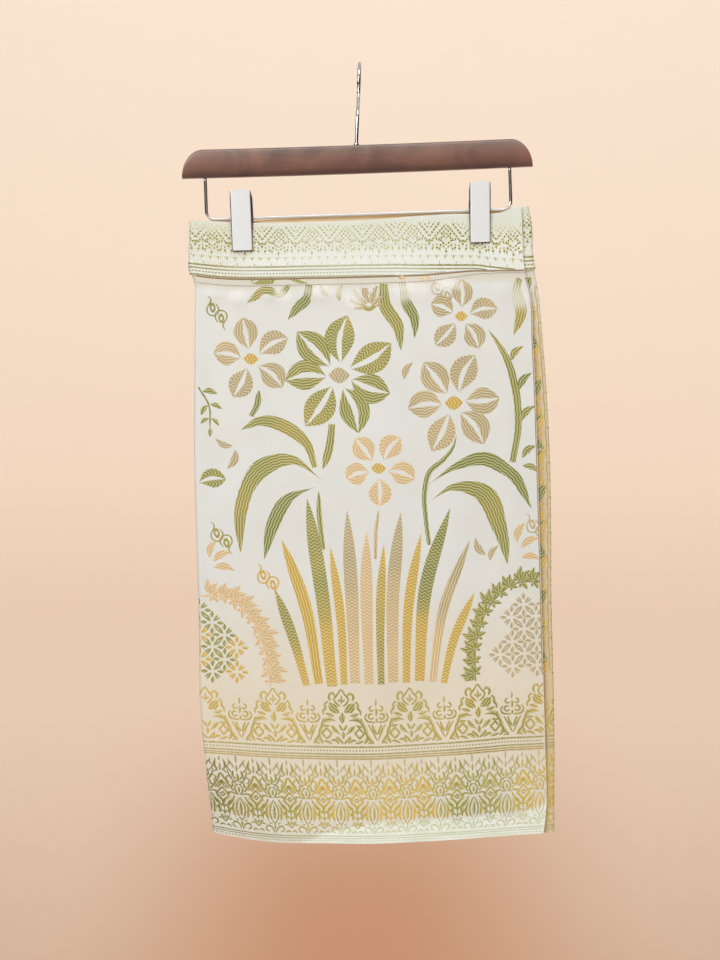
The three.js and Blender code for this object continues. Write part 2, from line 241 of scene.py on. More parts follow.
def groundMaterial(name, cream, shade, speck=0.0, lattice=0.0, shine=0.0):
    # satin, in two creams that drift into each other in slow clouds. Low on the cloth it is
    # warmer, and at the hem it turns mint in ragged flat streaks, which begin higher towards the
    # right: a painted highlight for the glare along the hem. Under the waistband it is darker, a
    # painted shade. The side beside the free edge is in shade: painted tan, partly for the thread
    # floats there and partly as painted shade, and browner next to the edge as a painted shadow.
    # speck is how many specks of the figure's thread show above the lower rows, lattice the
    # strength of small crossed dashes on the waistband, and shine that of the painted gleams under
    # it, where the attribute rim is high.
    look, zone = groundLook, groundZones
    material, tree = newMaterial(name)
    cloth = clothPlace(tree)
    place = addNode(tree, "SeparateXYZ", {0: cloth}).outputs
    x, y = place["X"], place["Y"]
    sums, ease, over, ramp = (partial(helper, tree) for helper in (calculate, between, mixed, rampOf))

    def times(first, *others):
        for other in others:
            first = sums("MULTIPLY", first, other)
        return first

    def noise(across, down, detail):
        return noiseOf(tree, cloth, (across, down, 1), detail, dimensions="2D")

    cloud = noise(0.018, 0.018, 2.0)
    colour = ramp(cloud, [(0.2, look[shade]), (0.8, look[cream])])
    if shine:
        warm = ramp(cloud, [(0.2, look["lowShade"]), (0.8, look["lowCream"])])
        low = times(ease(y, *zone["warmY"]), ease(y, *zone["warmEndY"], start=0.35))
        colour = over(low, colour, warm)
        # painted shade: darker under the waistband, where the band shades the cloth
        colour = over(ease(y, *zone["underBandShadeY"], end=0.7), colour, look["tucked"])
        ragged = sums("ADD", times(noise(0.16, 0.07, 2.0), 1.3), noise(0.03, 0.03, 0.0))
        gleam = ease(times(attributeOf(tree, "rim"), ragged), 0.18, 1.1, end=shine)
        colour = over(gleam, colour, look["glare"])

    # painted shade beside the free edge, partly thread floats, and a painted shadow next to the edge
    side = times(ease(x, *zone["sideX"]), ease(y, *zone["sideY"], start=0.12))
    colour = over(times(side, 0.6), colour, look["side"])
    colour = over(times(ease(x, *zone["sideEdgeShadowX"], end=0.55), side), colour, look["sideEdgeShadow"])

    # painted highlight: pale mint streaks for the glare along the hem, rising towards the right
    rise = sums("ADD", y, ease(x, *zone["riseX"], end=look["hemRise"]))
    rise = sums("ADD", rise, ease(x, *zone["edgeRiseX"], end=look["hemEdgeRise"]))
    ragged = sums("MULTIPLY_ADD", noise(0.05, 0.3, 3.0), look["hemRagged"], rise)
    hem = ease(ragged, *zone["hemY"])
    streaks = ramp(noise(0.03, 0.4, 3.0), [(0.35, look["hemShade"]), (0.62, look["hem"])])
    colour = over(hem, colour, streaks)

    if lattice:
        # a dash shows where both diagonals are in their later half
        dashes = [ease(sums("FRACT", sums("DIVIDE", sums(kind, x, y), look["dashPitch"])), 0.46, 0.58)
                  for kind in ("ADD", "SUBTRACT")]
        dashes += [ease(y, *zone["dashesY"]), ease(y, *zone["dashesEndY"], end=lattice)]
        colour = over(times(*dashes), colour, look["dash"])

    row = times(ease(y, *zone["specksY"], speck, 0.5), ease(y, *zone["specksEndY"], 1.0, 0.6),
                ease(x, *zone["specksX"], 1.0, 1.5), ease(x, *zone["specksBackX"], 0.6, 1.0))
    row = sums("MAXIMUM", row, times(side, 0.4))
    dense = times(ease(noise(0.75, 0.75, 2.0), 0.48, 0.64), row, ease(hem, 0, 1, start=1.0, end=0.1))
    colour = over(dense, colour, over(ease(x, *zone["goldX"]), look["speck"], look["speckGold"]))

    # a wave texture of scale 1 has a crest every 0.314 units
    sockets = {"Vector": cloth, "Scale": 0.314 / look["threadPitch"], "Distortion": 0.6, "Detail": 1.0}
    weft = addNode(tree, "TexWave", sockets, bands_direction="Y", wave_profile="SIN")
    fine = bumpOf(tree, weft.outputs["Fac"], look["threadHeight"] * millimetre)
    broad = bumpOf(tree, noise(0.12, 0.12, 3.0), look["slubHeight"] * millimetre)
    setSockets(tree, broad, {"Normal": fine.outputs["Normal"]})
    finishShader(tree, {"Base Color": colour, "Normal": broad.outputs["Normal"],
                        "Roughness": look["roughness"], "Sheen Weight": look["sheen"],
                        "Sheen Roughness": look["sheenRoughness"]})
    return material


def reverseMaterial():
    # the wrong side, where the figure's threads float across: tan streaks over gold, warm partly for the
    # floats and partly as painted light, the peach glow through the cloth
    material, tree = newMaterial("clothReverse")
    streaks = noiseOf(tree, clothPlace(tree), (0.04, 0.5, 1), 3.0, dimensions="2D")
    colour = rampOf(tree, streaks, [(0.3, rgb(255, 220, 168)), (0.7, rgb(255, 236, 200))])
    finishShader(tree, {"Base Color": colour, "Roughness": 0.5})
    return material


# The cloth's form. The bar's lower middle is the zero of these two tables, and "drop" is how
# far below it a place lies along the hanging cloth.

hanging = {"x": -2.15, "z": -110.35, "tilt": np.radians(1.99)}

lineNames = ("across", "lip", "waist", "bandFoot", "fieldFoot", "stripes", "hem")
lineRows = dict(zip(lineNames, np.array([
    [-176, 42.9, 43.4, 98.2, 518.6, 576.2, 669.5], [-150, 43.8, 45.1, 102.4, 519.8, 578.0, 675.4],
    [-121, 45.2, 47.8, 104.9, 521.0, 580.4, 680.0], [-108, 45.2, 48.6, 105.3, 521.5, 581.4, 681.4],
    [-60, 44.2, 49.6, 106.2, 523.5, 584.0, 683.2], [0, 43.4, 50.0, 107.0, 526.0, 586.3, 685.1],
    [30, 42.8, 48.8, 107.2, 525.7, 585.8, 684.8], [60, 42.4, 47.2, 107.3, 525.5, 585.2, 684.5],
    [107, 42.8, 46.6, 104.9, 524.6, 583.7, 683.6], [115, 43.4, 47.0, 104.6, 524.5, 583.4, 683.4],
    [134, 43.2, 47.4, 105.2, 524.1, 582.6, 683.2], [146, 42.4, 46.2, 105.4, 524.0, 582.6, 683.1],
    [160, 40.8, 41.4, 105.7, 523.9, 582.8, 683.0], [178, 40.6, 40.9, 105.8, 523.7, 582.8, 682.6]]).T))

planNames = ("drop", "left", "edge", "right", "front", "back", "foldL", "foldR")
planRows = dict(zip(planNames, np.array([
    [40, -172.5, 166.4, 172.6, 0.4, 0.4, 2.3, 3.0], [60, -173.0, 166.6, 175.3, 0.9, 0.7, 2.3, 3.0],
    [98, -174.0, 166.8, 176.4, 1.6, 1.2, 2.3, 3.0], [110, -170.6, 168.0, 178.6, 1.9, 1.5, 2.3, 3.0],
    [124, -171.2, 171.6, 180.6, 2.5, 2.0, 2.3, 3.1], [185, -173.8, 173.7, 184.5, 5.0, 4.2, 2.5, 3.3],
    [285, -177.6, 174.1, 187.4, 9.0, 7.4, 2.9, 3.7], [365, -178.4, 173.6, 186.4, 11.4, 9.0, 3.2, 3.9],
    [450, -178.7, 172.9, 183.8, 13.2, 10.4, 3.5, 4.1], [545, -180.2, 172.0, 183.0, 14.6, 11.6, 3.8, 4.2],
    [600, -177.0, 171.6, 181.8, 16.0, 12.8, 3.9, 4.3], [660, -172.2, 170.2, 179.4, 17.4, 13.8, 4.0, 4.4],
    [690, -170.8, 165.6, 178.4, 18.0, 14.2, 4.0, 4.4]]).T))

cloth = {
    "panelWall": 0.6, "bandFrom": 0.7, "bandTo": 2.1, "tuckFrom": 0.5, "tuckTo": 1.2, "hemWall": 0.62,
    "underStep": 3.0, "underReach": 86.0, "tuckDepth": 7.4, "hemDepth": 22.5,
    "frontSpan": 345.0, "leftTurn": 10.4, "backSpan": 346.0, "rightTurn": 6.6, "underSpan": 82.0,
    "step": 4.0, "fineStep": 1.0, "pouchStep": 2.0, "roundEdge": 0.5, "seam": 0.15,
}
# Along the cloth 0 is at the left fold, and it grows over the front. Below 0 it goes round that
# fold, over the back, round the right fold and on under the front.
toBack = -cloth["leftTurn"]
toRight = toBack - cloth["backSpan"]
toUnder = toRight - cloth["rightTurn"]
underEnd = toUnder - cloth["underSpan"]
midLeft = toBack / 2
midRight = toRight - cloth["rightTurn"] / 2

# Soft upright troughs and ridges in millimetres: place, reach, height, and the drops between
# which each fades in and out. The first list is for the front and the layer under it.
frontFolds = (
    (-158, 16, -0.9, 120, 700), (-128, 22, 1.3, 106, 420), (-92, 20, -1.0, 110, 360),
    (-60, 34, 0.9, 260, 690), (-22, 26, -1.1, 100, 330), (14, 30, 1.2, 110, 560),
    (52, 24, -0.8, 220, 690), (84, 18, 1.0, 100, 300), (118, 24, -1.0, 108, 480),
    (146, 13, 1.0, 112, 690), (-112, 30, -0.9, 430, 700), (0, 40, -0.8, 520, 700),
    (96, 30, 1.0, 480, 700), (160, 9, -0.6, 105, 300),
)
backFolds = (
    (-150, 18, -1.0, 110, 640), (-118, 24, 1.4, 106, 500), (-74, 26, -1.1, 120, 700),
    (-30, 30, 1.0, 200, 640), (22, 24, -1.2, 100, 420), (66, 32, 1.1, 150, 700),
    (112, 22, -1.2, 106, 540), (148, 16, 0.9, 112, 690),
)
# Little pouches where the front is pulled under the waistband: place, drop, half width, half
# height and how far they stand out.
pouches = (
    (-152, 121, 11, 7, 1.5), (-126, 126, 10, 8, 1.2), (-92, 123, 12, 7, 1.9), (-44, 122, 19, 8, 2.4),
    (-12, 130, 9, 13, 1.4), (14, 121, 10, 7, 1.2), (50, 123, 21, 9, 2.6), (88, 121, 12, 7, 1.8),
    (112, 128, 11, 10, 1.0), (146, 127, 11, 12, 1.9),
)


def rippleAt(x, drop, row, folds):
    # each fold is a bell across the cloth that sways and fades on its way down
    total = np.zeros(np.broadcast(x, drop).shape)
    for place, reach, height, top, foot in folds:
        sway = 5 * np.sin(drop / 80 + place)
        strength = smoothStep(top, top + 60, drop) * (1 - 0.8 * smoothStep(foot - 80, foot, drop))
        total = total + height * hump(place + sway, reach, x) * strength
    if folds is frontFolds:
        for place, low, wide, high, height in pouches:
            total = total + height * hump(place, wide, x) * hump(low, high, drop)
    return total * smoothStep(0, 14, x - row["from"]) * smoothStep(0, 14, row["to"] - x)


def dropAt(x, nominal):
    # how low a line lies at x, from how low it lies in the middle of the cloth
    known = [lineRows[name] for name in lineNames]
    middle = np.array([smoothRead(np.zeros(1), known[0], row)[0] for row in known[1:]])
    here = np.stack([smoothRead(x, known[0], row) for row in known[1:]])
    i = np.clip(np.searchsorted(middle, nominal) - 1, 0, len(middle) - 2)
    above = np.take_along_axis(here, i[None], 0)[0]
    below = np.take_along_axis(here, i[None] + 1, 0)[0]
    return mix(above, below, (nominal - middle[i]) / (middle[i + 1] - middle[i]))


def planAt(drop):
    row = {name: smoothRead(drop, planRows["drop"], planRows[name]) for name in planNames[1:]}
    row["turnR"] = row["foldR"] - cloth["underStep"] / 2
    row["from"] = row["left"] + 0.5 + row["foldL"]
    row["to"] = row["right"] - 0.5 - row["turnR"]
    return row


def standOut(row, x, bulge):
    # from one fold's half depth to the other's, and half a sine wave of bulge on top
    share = np.clip((x - row["from"]) / (row["to"] - row["from"]), 0, 1)
    return mix(row["foldL"], row["foldR"], share) + bulge * np.sin(np.pi * share)


def planPoint(row, along, drop):
    # x and y of a place on the cloth: bulged and rippled on the flats, half circles at the folds
    xFront = mix(row["from"], row["edge"], along / cloth["frontSpan"])
    xBack = mix(row["from"], row["to"], (toBack - along) / cloth["backSpan"])
    under = (toUnder - along) / cloth["underSpan"]
    xUnder = mix(row["to"], row["right"] - cloth["underReach"], under)
    angleL = np.pi * (1.5 + along / cloth["leftTurn"])
    angleR = np.pi * ((along - toUnder) / cloth["rightTurn"] - 0.5)

    def outFront(x):
        return standOut(row, x, row["front"]) + rippleAt(x, drop, row, frontFolds)

    outBack = standOut(row, xBack, row["back"]) + rippleAt(xBack, drop, row, backFolds)
    zones = [along >= 0, along >= toBack, along >= toRight, along >= toUnder]
    x = np.select(zones, [xFront, row["from"] + row["foldL"] * np.cos(angleL), xBack,
                          row["to"] + row["turnR"] * np.cos(angleR)], xUnder)
    y = np.select(zones, [-outFront(xFront), row["foldL"] * np.sin(angleL), outBack,
                          cloth["underStep"] / 2 + row["turnR"] * np.sin(angleR)],
                  cloth["underStep"] - outFront(xUnder))
    return x, y


def clothMiddle(along, nominal):
    # the middle of the cloth's thickness, below the bar: x, y and minus the drop
    along, nominal = np.broadcast_arrays(np.asarray(along, float), np.asarray(nominal, float))
    row = planAt(nominal)
    guess, _ = planPoint(row, along, nominal)
    drop = dropAt(guess, nominal)
    x, y = planPoint(planAt(drop), along, drop)
    return np.stack([x, y, -dropAt(x, nominal)], -1)


def clothPoint(along, nominal, out):
    # moved out along the cloth's normal, which is down the cloth crossed with along it
    e = 0.2
    down = clothMiddle(along, nominal + e) - clothMiddle(along, nominal - e)
    onward = clothMiddle(along + e, nominal) - clothMiddle(along - e, nominal)
    normal = np.cross(down, onward)
    normal /= np.linalg.norm(normal, axis=-1, keepdims=True)
    return clothMiddle(along, nominal) + normal * np.asarray(out)[..., None]


def toFrame(points):
    # from the leaning bar's own axes to the frame's
    c, s = np.cos(hanging["tilt"]), np.sin(hanging["tilt"])
    x, y, z = np.moveaxis(points, -1, 0)
    return np.stack([hanging["x"] + x * c - z * s, y, hanging["z"] + x * s + z * c], -1)


def stationsBetween(low, high, step=cloth["step"]):
    # evenly spaced along the cloth, and closer together round the two folds
    beside = 4
    turns = (beside, toBack - beside, toRight + beside, toUnder - beside)
    marks = [high, *(turn for turn in turns if low < turn < high), low]
    runs = []
    for upper, lower in zip(marks, marks[1:]):
        middle = (upper + lower) / 2
        near = turns[1] < middle < turns[0] or turns[3] < middle < turns[2]
        count = max(1, round((upper - lower) / (cloth["fineStep"] if near else step)))
        runs.append(np.linspace(upper, lower, count, endpoint=False))
    return np.concatenate(runs + [[low]])[::-1]


def clothShell(alongs, nominals, outFrom, outTo, drawnIn):
    # a closed wall: down its outer face and up its inner one at every station along the cloth.
    # drawnIn is how much thinner it is at its upper and lower edge.
    nominals = np.broadcast_to(nominals, (len(alongs), nominals.shape[-1]))
    depth = np.concatenate([nominals, nominals[:, ::-1]], 1)
    count = nominals.shape[1]
    out = np.concatenate([np.full(count, outTo), np.full(count, outFrom)])
    out[0] -= drawnIn[0]
    out[count - 1] -= drawnIn[1]
    points = clothPoint(alongs[:, None], depth, np.broadcast_to(out, depth.shape))
    rows, columns = points.shape[:2]
    j = np.arange(columns // 2 - 1)
    cap = np.stack([j, columns - 1 - j, columns - 2 - j, j + 1], -1)
    faces = [face[::-1] for face in gridFaces(rows, columns, closedRound=True)]
    faces += cap.tolist() + (cap[:, ::-1] + (rows - 1) * columns).tolist()
    u = np.repeat(alongs, columns)
    v = depth.ravel()
    return toFrame(points).reshape(-1, 3), faces, np.stack([u, v], -1)


def levels(*marks):
    # nominal drops between the marks, about one step apart, closer at the pouches
    pouchTop, pouchFoot = 112.0, 150.0
    marks = sorted({*marks, *(m for m in (pouchTop, pouchFoot) if marks[0] < m < marks[-1])})
    runs = []
    for a, b in zip(marks, marks[1:]):
        step = cloth["pouchStep"] if pouchTop <= a < pouchFoot else cloth["step"]
        runs.append(np.linspace(a, b, max(2, round((b - a) / step)), endpoint=False))
    return np.concatenate(runs + [[marks[-1]]])


def clothRows():
    # the nominal drops of every row of each kind of sheet
    middle = {name: float(smoothRead(np.zeros(1), lineRows["across"], lineRows[name])[0])
              for name in lineNames[1:]}
    waist, lip, bandFoot, hem = (middle[name] for name in ("waist", "lip", "bandFoot", "hem"))
    hemTop = hem - cloth["hemDepth"]
    edge = cloth["roundEdge"]
    clear = 0.02
    backBand = levels(lip + 0.3, lip + 1, bandFoot - edge, bandFoot)
    # on the layer under the front the band starts as low as the front's
    lower = smoothStep(toUnder + 3, toUnder - 3, backBandStations()) * (waist - lip)
    share = (bandFoot - backBand) / (bandFoot - backBand[0])
    # the tuck narrows towards the free edge
    tuckTop, tuckFoot = bandFoot + 0.3, bandFoot + cloth["tuckDepth"]
    narrow = 1 - 0.7 * smoothStep(225, 330, tuckStations())[:, None]
    return {
        "panel": levels(waist + 0.3, bandFoot, hemTop - clear),
        "backPanel": levels(lip, bandFoot, hemTop - clear),
        "tuck": tuckTop + (levels(tuckTop, tuckFoot - edge, tuckFoot) - tuckTop) * narrow,
        "band": levels(waist, waist + edge, bandFoot - edge, bandFoot),
        "backBand": backBand + lower[:, None] * share,
        "hem": levels(hemTop + clear, hemTop + edge, hem - edge, hem),
    }


def backBandStations():
    return stationsBetween(underEnd, midLeft - cloth["seam"])


def tuckStations():
    return stationsBetween(0.6, cloth["frontSpan"])


def addClothShells(ground, border, reverse):
    seam, wall, hemWall = cloth["seam"], cloth["panelWall"] / 2, cloth["hemWall"] / 2
    front = stationsBetween(midLeft + seam, cloth["frontSpan"])
    back = stationsBetween(midRight + seam, midLeft - seam)
    under = stationsBetween(underEnd, midRight - seam)
    rows = clothRows()
    # how far out each kind of sheet lies, and how much its upper and lower edges are drawn in
    panel = (-wall, wall, (0, 0), ground, "cloth_field")
    band = (cloth["bandFrom"], cloth["bandTo"], (0.5, 0.5), border, "cloth_border")
    tuck = (cloth["tuckFrom"], cloth["tuckTo"], (0.3, 0.5), ground, "cloth_field")
    hem = (-hemWall, hemWall, (0, 0.3), ground, "cloth_border")
    shells = (
        ("front_panel", front, "panel", panel), ("back_panel", back, "backPanel", panel),
        ("under_wrap", under, "panel", panel), ("tuck_strip", tuckStations(), "tuck", tuck),
        ("waistband_front", front, "band", band), ("waistband_back", backBandStations(), "backBand", band),
        ("hem_front", front, "hem", hem), ("hem_back", back, "hem", hem), ("hem_under", under, "hem", hem),
    )
    made = {}
    for node, alongs, kind, (outFrom, outTo, drawnIn, material, slot) in shells:
        points, faces, uv = clothShell(alongs, rows[kind], outFrom, outTo, drawnIn)
        glints = glareAt(uv[:, 0] - pattern["middle"], uv[:, 1]) if node == "front_panel" else None
        piece = makePiece(node + "_cloth", points, faces, material, uv=uv, rim=glints)
        # the faces of the inner wall show the cloth's reverse
        piece.data.materials.append(reverse)
        columns = 2 * rows[kind].shape[-1]
        face = np.arange(len(piece.data.polygons))
        inner = (face % columns >= columns // 2) & (face < columns * (len(alongs) - 1))
        piece.data.polygons.foreach_set("material_index", inner.astype(np.int32))
        piece.data.set_sharp_from_angle(angle=np.radians(65))
        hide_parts(node)
        flat = ((alongs[-1] - alongs[0]) * millimetre, float(np.ptp(rows[kind])) * millimetre)
        made[node + "_cloth"] = (piece, flat)
    print("cloth shells made")
    return made


# Woven figures. Each is a strip: a curve with a width on either side, laid on the cloth as a thin
# raised plate. Motifs are drawn in millimetres with x to the right and y up.

tones = {
    "green": rgb(146, 146, 64), "leaf": rgb(128, 136, 64), "gold": rgb(216, 176, 66),
    "peach": rgb(228, 194, 148), "tan": rgb(188, 170, 132), "mint": rgb(216, 222, 192),
    "line": rgb(166, 158, 98), "edge": rgb(184, 156, 78), "tick": rgb(110, 100, 70),
    # the last colour is for dark lines that are wholly or partly painted shadow
    "bright": rgb(236, 239, 226), "cord": rgb(158, 112, 64),
}
tones = {name: np.array(colour[:3]) for name, colour in tones.items()}

pattern = {"plateHeight": 0.3, "leastHeight": 0.1, "slope": 0.3, "sunk": 0.08, "middle": 173.5}


def distanceAlong(points):
    return np.concatenate([[0], np.cumsum(np.hypot(*np.diff(points, axis=0).T))])


def curveThrough(points, count):
    # a smooth curve through a few points, by the same cubic as the tables
    points = np.asarray(points, float)
    at = distanceAlong(points)
    want = np.linspace(0, at[-1], count)
    if len(points) == 2:
        return points[0] + (points[1] - points[0]) * (want / at[-1])[:, None]
    return np.stack([smoothRead(want, at, points[:, i]) for i in (0, 1)], -1)


def makeStrip(centre, left, right, tone, weave=0.0):
    # tone is one name, or two for the strip's start and end; weave turns from threads along the
    # strip at 0 to chevrons across it at 1
    return {"centre": centre, "left": left, "right": right, "tone": tone, "weave": weave}


def headingOf(path):
    # the unit direction of a path at each of its samples
    heading = np.gradient(path, axis=0)
    return heading / np.maximum(np.linalg.norm(heading, axis=1, keepdims=True), 1e-9)


def sidewaysOf(centre):
    # square to the heading, on its left
    heading = headingOf(centre)
    return np.stack([-heading[:, 1], heading[:, 0]], -1)


def bearingOf(centre):
    # the direction of a curve at each of its samples, in degrees
    heading = np.gradient(centre, axis=0)
    return np.degrees(np.arctan2(heading[:, 1], heading[:, 0]))


def stroke(points, width, tone="zone", weave=0.0, tips=(0.5, 0.5)):
    # an even line with drawn-in ends; tips gives the share of the width left at each end. The tone
    # "zone" is the colour that its row has at that place.
    least = 3 if len(points) == 2 else 2 * len(points)
    count = int(np.clip(round(lengthOf(points) / 2.2), least, 60))
    centre = curveThrough(points, count)
    t = np.linspace(0, 1, count)
    ends = np.minimum(mix(tips[0], 1, np.clip(t * count / 2, 0, 1)),
                      mix(tips[1], 1, np.clip((1 - t) * count / 2, 0, 1)))
    half = width / 2 * ends
    return [makeStrip(centre, half, half, tone, weave)]


def lengthOf(points):
    return distanceAlong(points)[-1]


def leafShape(points, width, fat, count):
    # widest at the share fat: half width = width/2 * sin(pi t^k), k = log 0.5 / log fat
    centre = curveThrough(points, count)
    t = np.linspace(0, 1, count)
    half = np.maximum(width / 2 * np.sin(np.pi * t ** (np.log(0.5) / np.log(fat))), 0.12)
    return centre, half, t


def leaf(points, width, tone="zone", fat=0.5, weave=0.0):
    centre, half, _ = leafShape(points, width, fat, int(np.clip(round(lengthOf(points) / 2.4), 5, 50)))
    return [makeStrip(centre, half, half, tone, weave)]


def ribbedLeaf(points, width, tone, fat=0.5, rib=0.9, weave=0.0, ribFrom=0.0, ribTo=0.72):
    # two halves with a bare midrib between them
    centre, half, t = leafShape(points, width, fat, int(np.clip(round(lengthOf(points) / 2.2), 8, 50)))
    gap = rib / 2 * smoothStep(ribFrom - 0.08, ribFrom + 0.04, t) * (1 - smoothStep(ribTo - 0.1, ribTo, t))
    gap = np.minimum(gap, half * 0.8)
    aside = sidewaysOf(centre)
    made = []
    for side in (1, -1):
        middle = centre + aside * (side * (half + gap) / 2)[:, None]
        made.append(makeStrip(middle, (half - gap) / 2, (half - gap) / 2, tone, weave))
    return made


def moved(strips, at=(0, 0), turn=0.0, size=1.0, flip=False):
    # a copy of a motif: flipped, sized, turned by degrees and put at a place
    c, s = np.cos(np.radians(turn)), np.sin(np.radians(turn))
    made = []
    for strip in strips:
        x, y = (strip["centre"] * size).T
        x = -x if flip else x
        centre = np.stack([at[0] + x * c - y * s, at[1] + x * s + y * c], -1)
        sides = (strip["right"], strip["left"]) if flip else (strip["left"], strip["right"])
        made.append({**strip, "centre": centre, "left": sides[0] * size, "right": sides[1] * size})
    return made


def mirrored(strips):
    # a half motif and its mirror image
    return strips + moved(strips, flip=True)


def petalFlower(petals, reach, width, tone, core, start=9.0, turn=90.0, rib=1.6, fat=0.55):
    # petals round a middle, each longer or shorter by a little, with pointed tips
    made = []
    for i in range(petals):
        angle = np.radians(turn + 360 * i / petals)
        length = reach * (1 + 0.08 * np.sin(2.1 * i + 0.5))
        c, s = np.cos(angle), np.sin(angle)
        lean = 0.07 * length * np.cos(1.7 * i)
        made += ribbedLeaf([(start * c, start * s),
                            (0.6 * length * c - lean * s, 0.6 * length * s + lean * c),
                            (length * c, length * s)], width, tone, fat=fat, rib=rib,
                           weave=1.0 if i % 3 == 0 else 0.0)
    heart = "tan" if tone == "green" else "gold"
    return made + leaf([(-core / 2, 0), (core / 2, 0)], core * 0.95, heart, weave=1.0)


def rosette(size, tone):
    # eight little petals and a bare middle
    made = []
    for i in range(4):
        angle = np.radians(90 * i)
        c, s = np.cos(angle), np.sin(angle)
        made += leaf([(0.42 * size * c, 0.42 * size * s), (size * c, size * s)], 0.42 * size, tone)
        for side in (-1, 1):
            c2, s2 = np.cos(angle + side * 0.62), np.sin(angle + side * 0.62)
            made += leaf([(0.16 * size * c2, 0.16 * size * s2), (0.82 * size * c2, 0.82 * size * s2)],
                         0.25 * size, tone, fat=0.6)
    return made


def scroll(size, tone):
    # a drop in a curl, with a wavy tail
    made = stroke([(-0.15, 1.15), (0.12, 0.85), (0.02, 0.5), (-0.28, 0.1), (-0.25, -0.4), (0.15, -0.62),
                   (0.6, -0.45), (0.75, 0.05), (0.55, 0.45)], 0.17, tone, tips=(0.3, 0.6))
    made += leaf([(0.22, 0.5), (0.02, 0.1), (0.22, -0.3)], 0.16, tone)
    made += leaf([(0.22, 0.5), (0.44, 0.1), (0.22, -0.3)], 0.16, tone)
    return moved(made, size=size)


def scrollPair(size, tone):
    # two scrolls, one turned upside down beside the other
    second = moved(scroll(size, tone), (size * 1.15, -size * 0.75), turn=180)
    return scroll(size, tone) + second


def garland(points, tone, pace=15.0, leafLength=15.0, leafWidth=7.0, bothWays=0.35):
    # pairs and threes of leaves that lean along a curve, denser on its outer side
    made = []
    count = max(2, round(lengthOf(points) / pace))
    centre = curveThrough(points, count * 8 + 1)
    turn = bearingOf(centre)
    made += stroke(centre[::4], 2.2, tone)
    for i in range(count + 1):
        k = min(i * 8, len(centre) - 1)
        wobble = 8 * np.sin(2.3 * i)
        long = leafLength * (1 + 0.14 * np.sin(1.9 * i + 1))
        for spread, share, wide in ((88, 1.0, 1.0), (52, 0.92, 0.95), (126, 0.7, 0.85), (14, 0.7, 0.7),
                                    (-50, bothWays + 0.25, 0.7), (-105, bothWays, 0.6)):
            tip = long * share
            made += moved(leaf([(1.2, 0), (tip * 0.55, 0.09 * tip), (tip, 0)], leafWidth * wide, tone,
                               fat=0.45), centre[k], turn[k] + spread + wobble)
    return made


def ring(points, width):
    # a closed line through the points, each side straight
    points = [*points, points[0]]
    made = []
    for a, b in zip(points, points[1:]):
        made += stroke([a, b], width, tips=(0.8, 0.8))
    return made


def diamond(x, y, wide, high, width, tone="zone"):
    lines = ring([(x, y + high), (x + wide, y), (x, y - high), (x - wide, y)], width)
    return [{**line, "tone": tone} for line in lines]


def drawn(*rows):
    # each row is a width, the share of its length at which a leaf is widest, or 0 for an even
    # line, and the points it runs through
    made = []
    for width, fat, *points in rows:
        made += leaf(points, width, fat=fat) if fat else stroke(points, width)
    return made


def thicker(strips, share):
    # the same motif in bolder lines
    return [{**strip, "left": strip["left"] * share, "right": strip["right"] * share} for strip in strips]


def bigPalmette():
    # the bamboo-shoot triangle, 56 high and 64 wide: one half, then its mirror image
    half = stroke([(0, 56), (3.0, 50.8), (7.2, 44.8), (4.6, 40.8), (1.4, 38.2)], 2.0, tips=(0.6, 0.6))
    half += drawn(
        (2.5, 0, (6.6, 48.8), (8.4, 51.4), (11.2, 50.0), (12.0, 46.4), (10.4, 43.6)),
        (9.4, 0.5, (2.2, 32.0), (7.0, 35.0), (12.6, 42.0)),
        (2.5, 0, (13.4, 43.2), (16.4, 39.8), (16.0, 36.4), (18.6, 33.0), (18.2, 29.8)),
        (3.8, 0.5, (7.6, 28.6), (12.4, 29.6), (16.6, 31.4)),
        (5.0, 0.6, (6.2, 23.8), (13.0, 25.2), (20.6, 22.2)),
        (3.6, 0, (18.2, 26.0), (19.8, 20.4), (22.0, 15.6), (23.2, 10.8), (25.8, 6.2), (29.4, 2.2)))
    half += diamond(16.2, 11.2, 4.7, 5.2, 2.5)
    half += drawn(
        (3.4, 0.5, (12.8, 19.4), (16.6, 18.2), (20.0, 18.8)),
        (5.0, 0.64, (2.2, 9.8), (6.8, 13.6), (11.6, 19.2)), (3.4, 0, (0.7, 14.4), (3.8, 19.8)),
        (3.0, 0, (0.6, 1.4), (3.4, 4.2), (7.0, 8.0)), (3.6, 0.5, (4.2, 0.9), (8.6, 4.7), (13.0, 4.2)),
        (3.0, 0.5, (11.0, 0.8), (15.6, 2.8), (20.4, 3.8)),
        (3.6, 0.5, (20.2, 1.0), (22.8, 4.4), (23.2, 8.8)),
        (2.4, 0.5, (23.6, 0.9), (27.0, 2.4), (30.2, 1.0)), (1.9, 0.5, (1.0, 42.6), (3.6, 45.4)))
    middle = drawn(
        (2.2, 0.5, (0, 40.2), (0, 49.6)), (6.2, 0.5, (0, 20.8), (0, 32.4)),
        (3.8, 0.5, (0, 5.6), (0, 13.6)))
    return mirrored(half) + middle


def smallPalmette():
    # a cone of nested chevrons that opens into three lobes and a spike, 46 high
    half = drawn(
        (2.1, 0, (8.8, 20.8), (5.0, 14.4), (2.6, 9.0), (0.5, 4.2)),
        (2.8, 0, (4.8, 20.4), (2.8, 15.2), (0.6, 10.4)),
        (2.2, 0, (1.4, 22.8), (5.4, 23.0), (10.0, 24.4), (11.6, 28.4), (9.4, 32.0)),
        (2.3, 0, (2.6, 28.0), (5.2, 26.0), (8.0, 28.4), (6.0, 31.6), (3.2, 30.6)),
        (2.2, 0, (2.2, 35.6), (5.4, 34.4), (6.8, 37.2), (4.2, 39.8)))
    middle = drawn(
        (3.2, 0.5, (0, 22.4), (0, 27.6)), (3.4, 0.5, (0, 29.0), (0, 37.6)),
        (2.4, 0.5, (0, 38.6), (0, 46.4)))
    return mirrored(half) + middle


